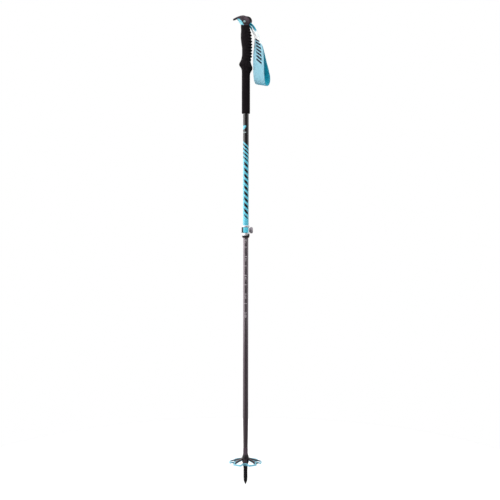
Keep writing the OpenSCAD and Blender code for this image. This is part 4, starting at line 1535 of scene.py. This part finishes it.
def dress_nodes():
    steel = metal("bright_steel", dark=(150, 151, 153), light=(186, 187, 190), rough=0.26)
    dress("upper_tube", upper_tube_material())
    dress("lower_tube", lower_tube_material())
    dress("tip_ferrule", ferrule_material())
    dress("steel_tip", tip_material())
    natural = plastic("natural_plastic", dark=(206, 205, 198), light=(222, 221, 214),
                      wear=(235, 234, 230), rough=0.45,
                      Subsurface_Weight=0.1, Subsurface_Scale=0.002)
    for name in ("guide_plug", "tube_top_plug"):
        dress(name, natural)
    for name in ("strap_pin", "tension_bolt", "lever_pin", "thrust_washer"):
        dress(name, steel)
    dress("cam_washer", metal("brass", dark=(176, 140, 74), light=(206, 170, 98), rough=0.26,
                              edge=(232, 206, 150)))
    dress("clamp_collar", metal("collar_aluminium", dark=(206, 209, 213), light=(232, 234, 237),
                                rough=0.40, lines="z", metallic=0.8), bevel=0.35)
    dress("clamp_bushing", plastic("bushing_plastic", dark=(20, 17, 20), light=(32, 28, 32),
                                   wear=(84, 78, 84), rough=0.36), bevel=0.3)
    dress("lever_body", plastic("lever_dark_plastic", dark=(12, 22, 26), light=(21, 33, 39),
                                wear=(50, 62, 68), rough=0.38, Specular_IOR_Level=0.2),
          bevel=0.3)
    dress("lever_cover", plastic("lever_anodised", dark=(78, 192, 216), light=(92, 202, 224),
                                 wear=(190, 232, 240), rough=0.34, grain=3.0, depth=0.006,
                                 edge=0.3, Coat_Weight=0.3, Coat_Roughness=0.12), bevel=0.22)
    dress("thumb_nut", metal("nut_anodised", dark=(146, 139, 147), light=(176, 168, 175),
                             rough=0.46, metallic=0.35, edge=(224, 220, 224)), bevel=0.2)


# ------------------------------------------------------------------ floor, light and camera

def floor_material():
    net = material("floor_paper")
    base = net.mix((0.90, 0.90, 0.90, 1), (0.94, 0.94, 0.94, 1), by=net.noise(scale=0.02))
    return net.finish(base, rough=0.9, height=net.noise(scale=0.6, rough=0.5) * 0.02,
                      Emission_Color=(1, 1, 1, 1), Emission_Strength=0.04)


def build_floor():
    profile = fillet([(0.0, 0.0), (200, 0.0), (600, 0.0), (860, 0.0), (880, -1.0), (884, -6.0),
                      (880, -12), (0.0, -12)], [0, 0, 0, 2, 2, 3, 3, 0])
    verts, faces = revolve(profile, 128)
    gap = 0.4                   # between the tip and the floor
    ob = put_mesh("studio_floor", [(x, y, z - gap) for x, y, z in verts], faces,
                  [floor_material()], sharp=60)
    ob.visible_glossy = False


def build_world():
    """Soft panels that light the pole; the camera itself sees plain white."""
    world = bpy.data.worlds.new("studio")
    scene.world = world
    net = Net(world)
    x, y, z = net.split(net.new("ShaderNodeTexCoord").outputs["Generated"])
    azimuth = bearing(x, y) * (180 / math.pi)
    low = z.step(off=-0.26, on=-0.02)
    left = azimuth.band(low=-168.0, high=-40.0, soft=8.0) * low * z.step(off=0.95, on=0.55)
    right = azimuth.band(low=52.0, high=165.0, soft=10.0) * low * z.step(off=0.9, on=0.5)
    front = azimuth.band(low=-70.0, high=70.0, soft=20.0)
    fill = front * z.step(off=0.27, on=0.36) * z.step(off=0.97, on=0.85)
    behind = (azimuth.abs().step(off=145.0, on=170.0) * z.step(off=0.02, on=0.12)
              * z.step(off=0.60, on=0.40))
    over = z.step(off=0.35, on=0.9) * (0.35 + 0.65 * front)
    # strength of each panel over an even 0.11
    light = 0.11 + left * 2.3 + right * 0.85 + fill * 1.15 + behind * 1.3 + over * 0.8

    def background(colour, strength):
        node = net.new("ShaderNodeBackground")
        node.inputs[0].default_value = colour
        net.put(node.inputs[1], strength)
        return node.outputs[0]

    mix = net.new("ShaderNodeMixShader")
    path = net.new("ShaderNodeLightPath")
    output = net.new("ShaderNodeOutputWorld")
    link = net.tree.links.new
    link(path.outputs["Is Camera Ray"], mix.inputs[0])
    link(background(colour=(1.0, 0.99, 0.985, 1), strength=light), mix.inputs[1])
    link(background(colour=(1, 1, 1, 1), strength=1.0), mix.inputs[2])
    link(mix.outputs[0], output.inputs[0])


def build_key_light():
    """A softbox up on the camera's side, towards -X, aimed at the pole's middle."""
    light = bpy.data.lights.new("key_softbox", "AREA")
    light.shape = "RECTANGLE"
    light.size = 0.9
    light.size_y = 1.4
    light.energy = 5
    light.color = (1, 1, 1)
    ob = bpy.data.objects.new("key_softbox", light)
    scene.collection.objects.link(ob)
    place, aim = Vector((-1.5, -1.6, 1.5)), Vector((0, 0, 0.75))
    ob.location = place
    ob.rotation_euler = (aim - place).to_track_quat("-Z", "Y").to_euler()
    ob.visible_camera = False


def build_camera():
    camera = bpy.data.cameras.new("camera")
    camera.angle = math.radians(32.972)
    camera.clip_start = 0.05
    camera.clip_end = 50
    ob = bpy.data.objects.new("camera", camera)
    scene.collection.objects.link(ob)
    ob.location = (0.0114, -2.25, 0.624)
    ob.rotation_euler = (math.radians(90), math.radians(-0.06), 0)
    scene.camera = ob
    scene.view_settings.view_transform = "Standard"
    scene.view_settings.look = "None"
    scene.view_settings.exposure = 0.0
    scene.view_settings.gamma = 1.0


# ------------------------------------------------------------------ build

build_foam()
wedge_plastic = plastic("wedge_plastic", dark=(13, 12, 13), light=(21, 20, 21),
                        wear=(48, 46, 48), rough=0.34, Specular_IOR_Level=0.15)
build_head(head_material(), throat_material(), wedge_plastic)
build_caps()
build_strap()
build_rim()
build_hub()
build_numbers()
dress_nodes()
build_floor()
build_world()
build_key_light()
build_camera()
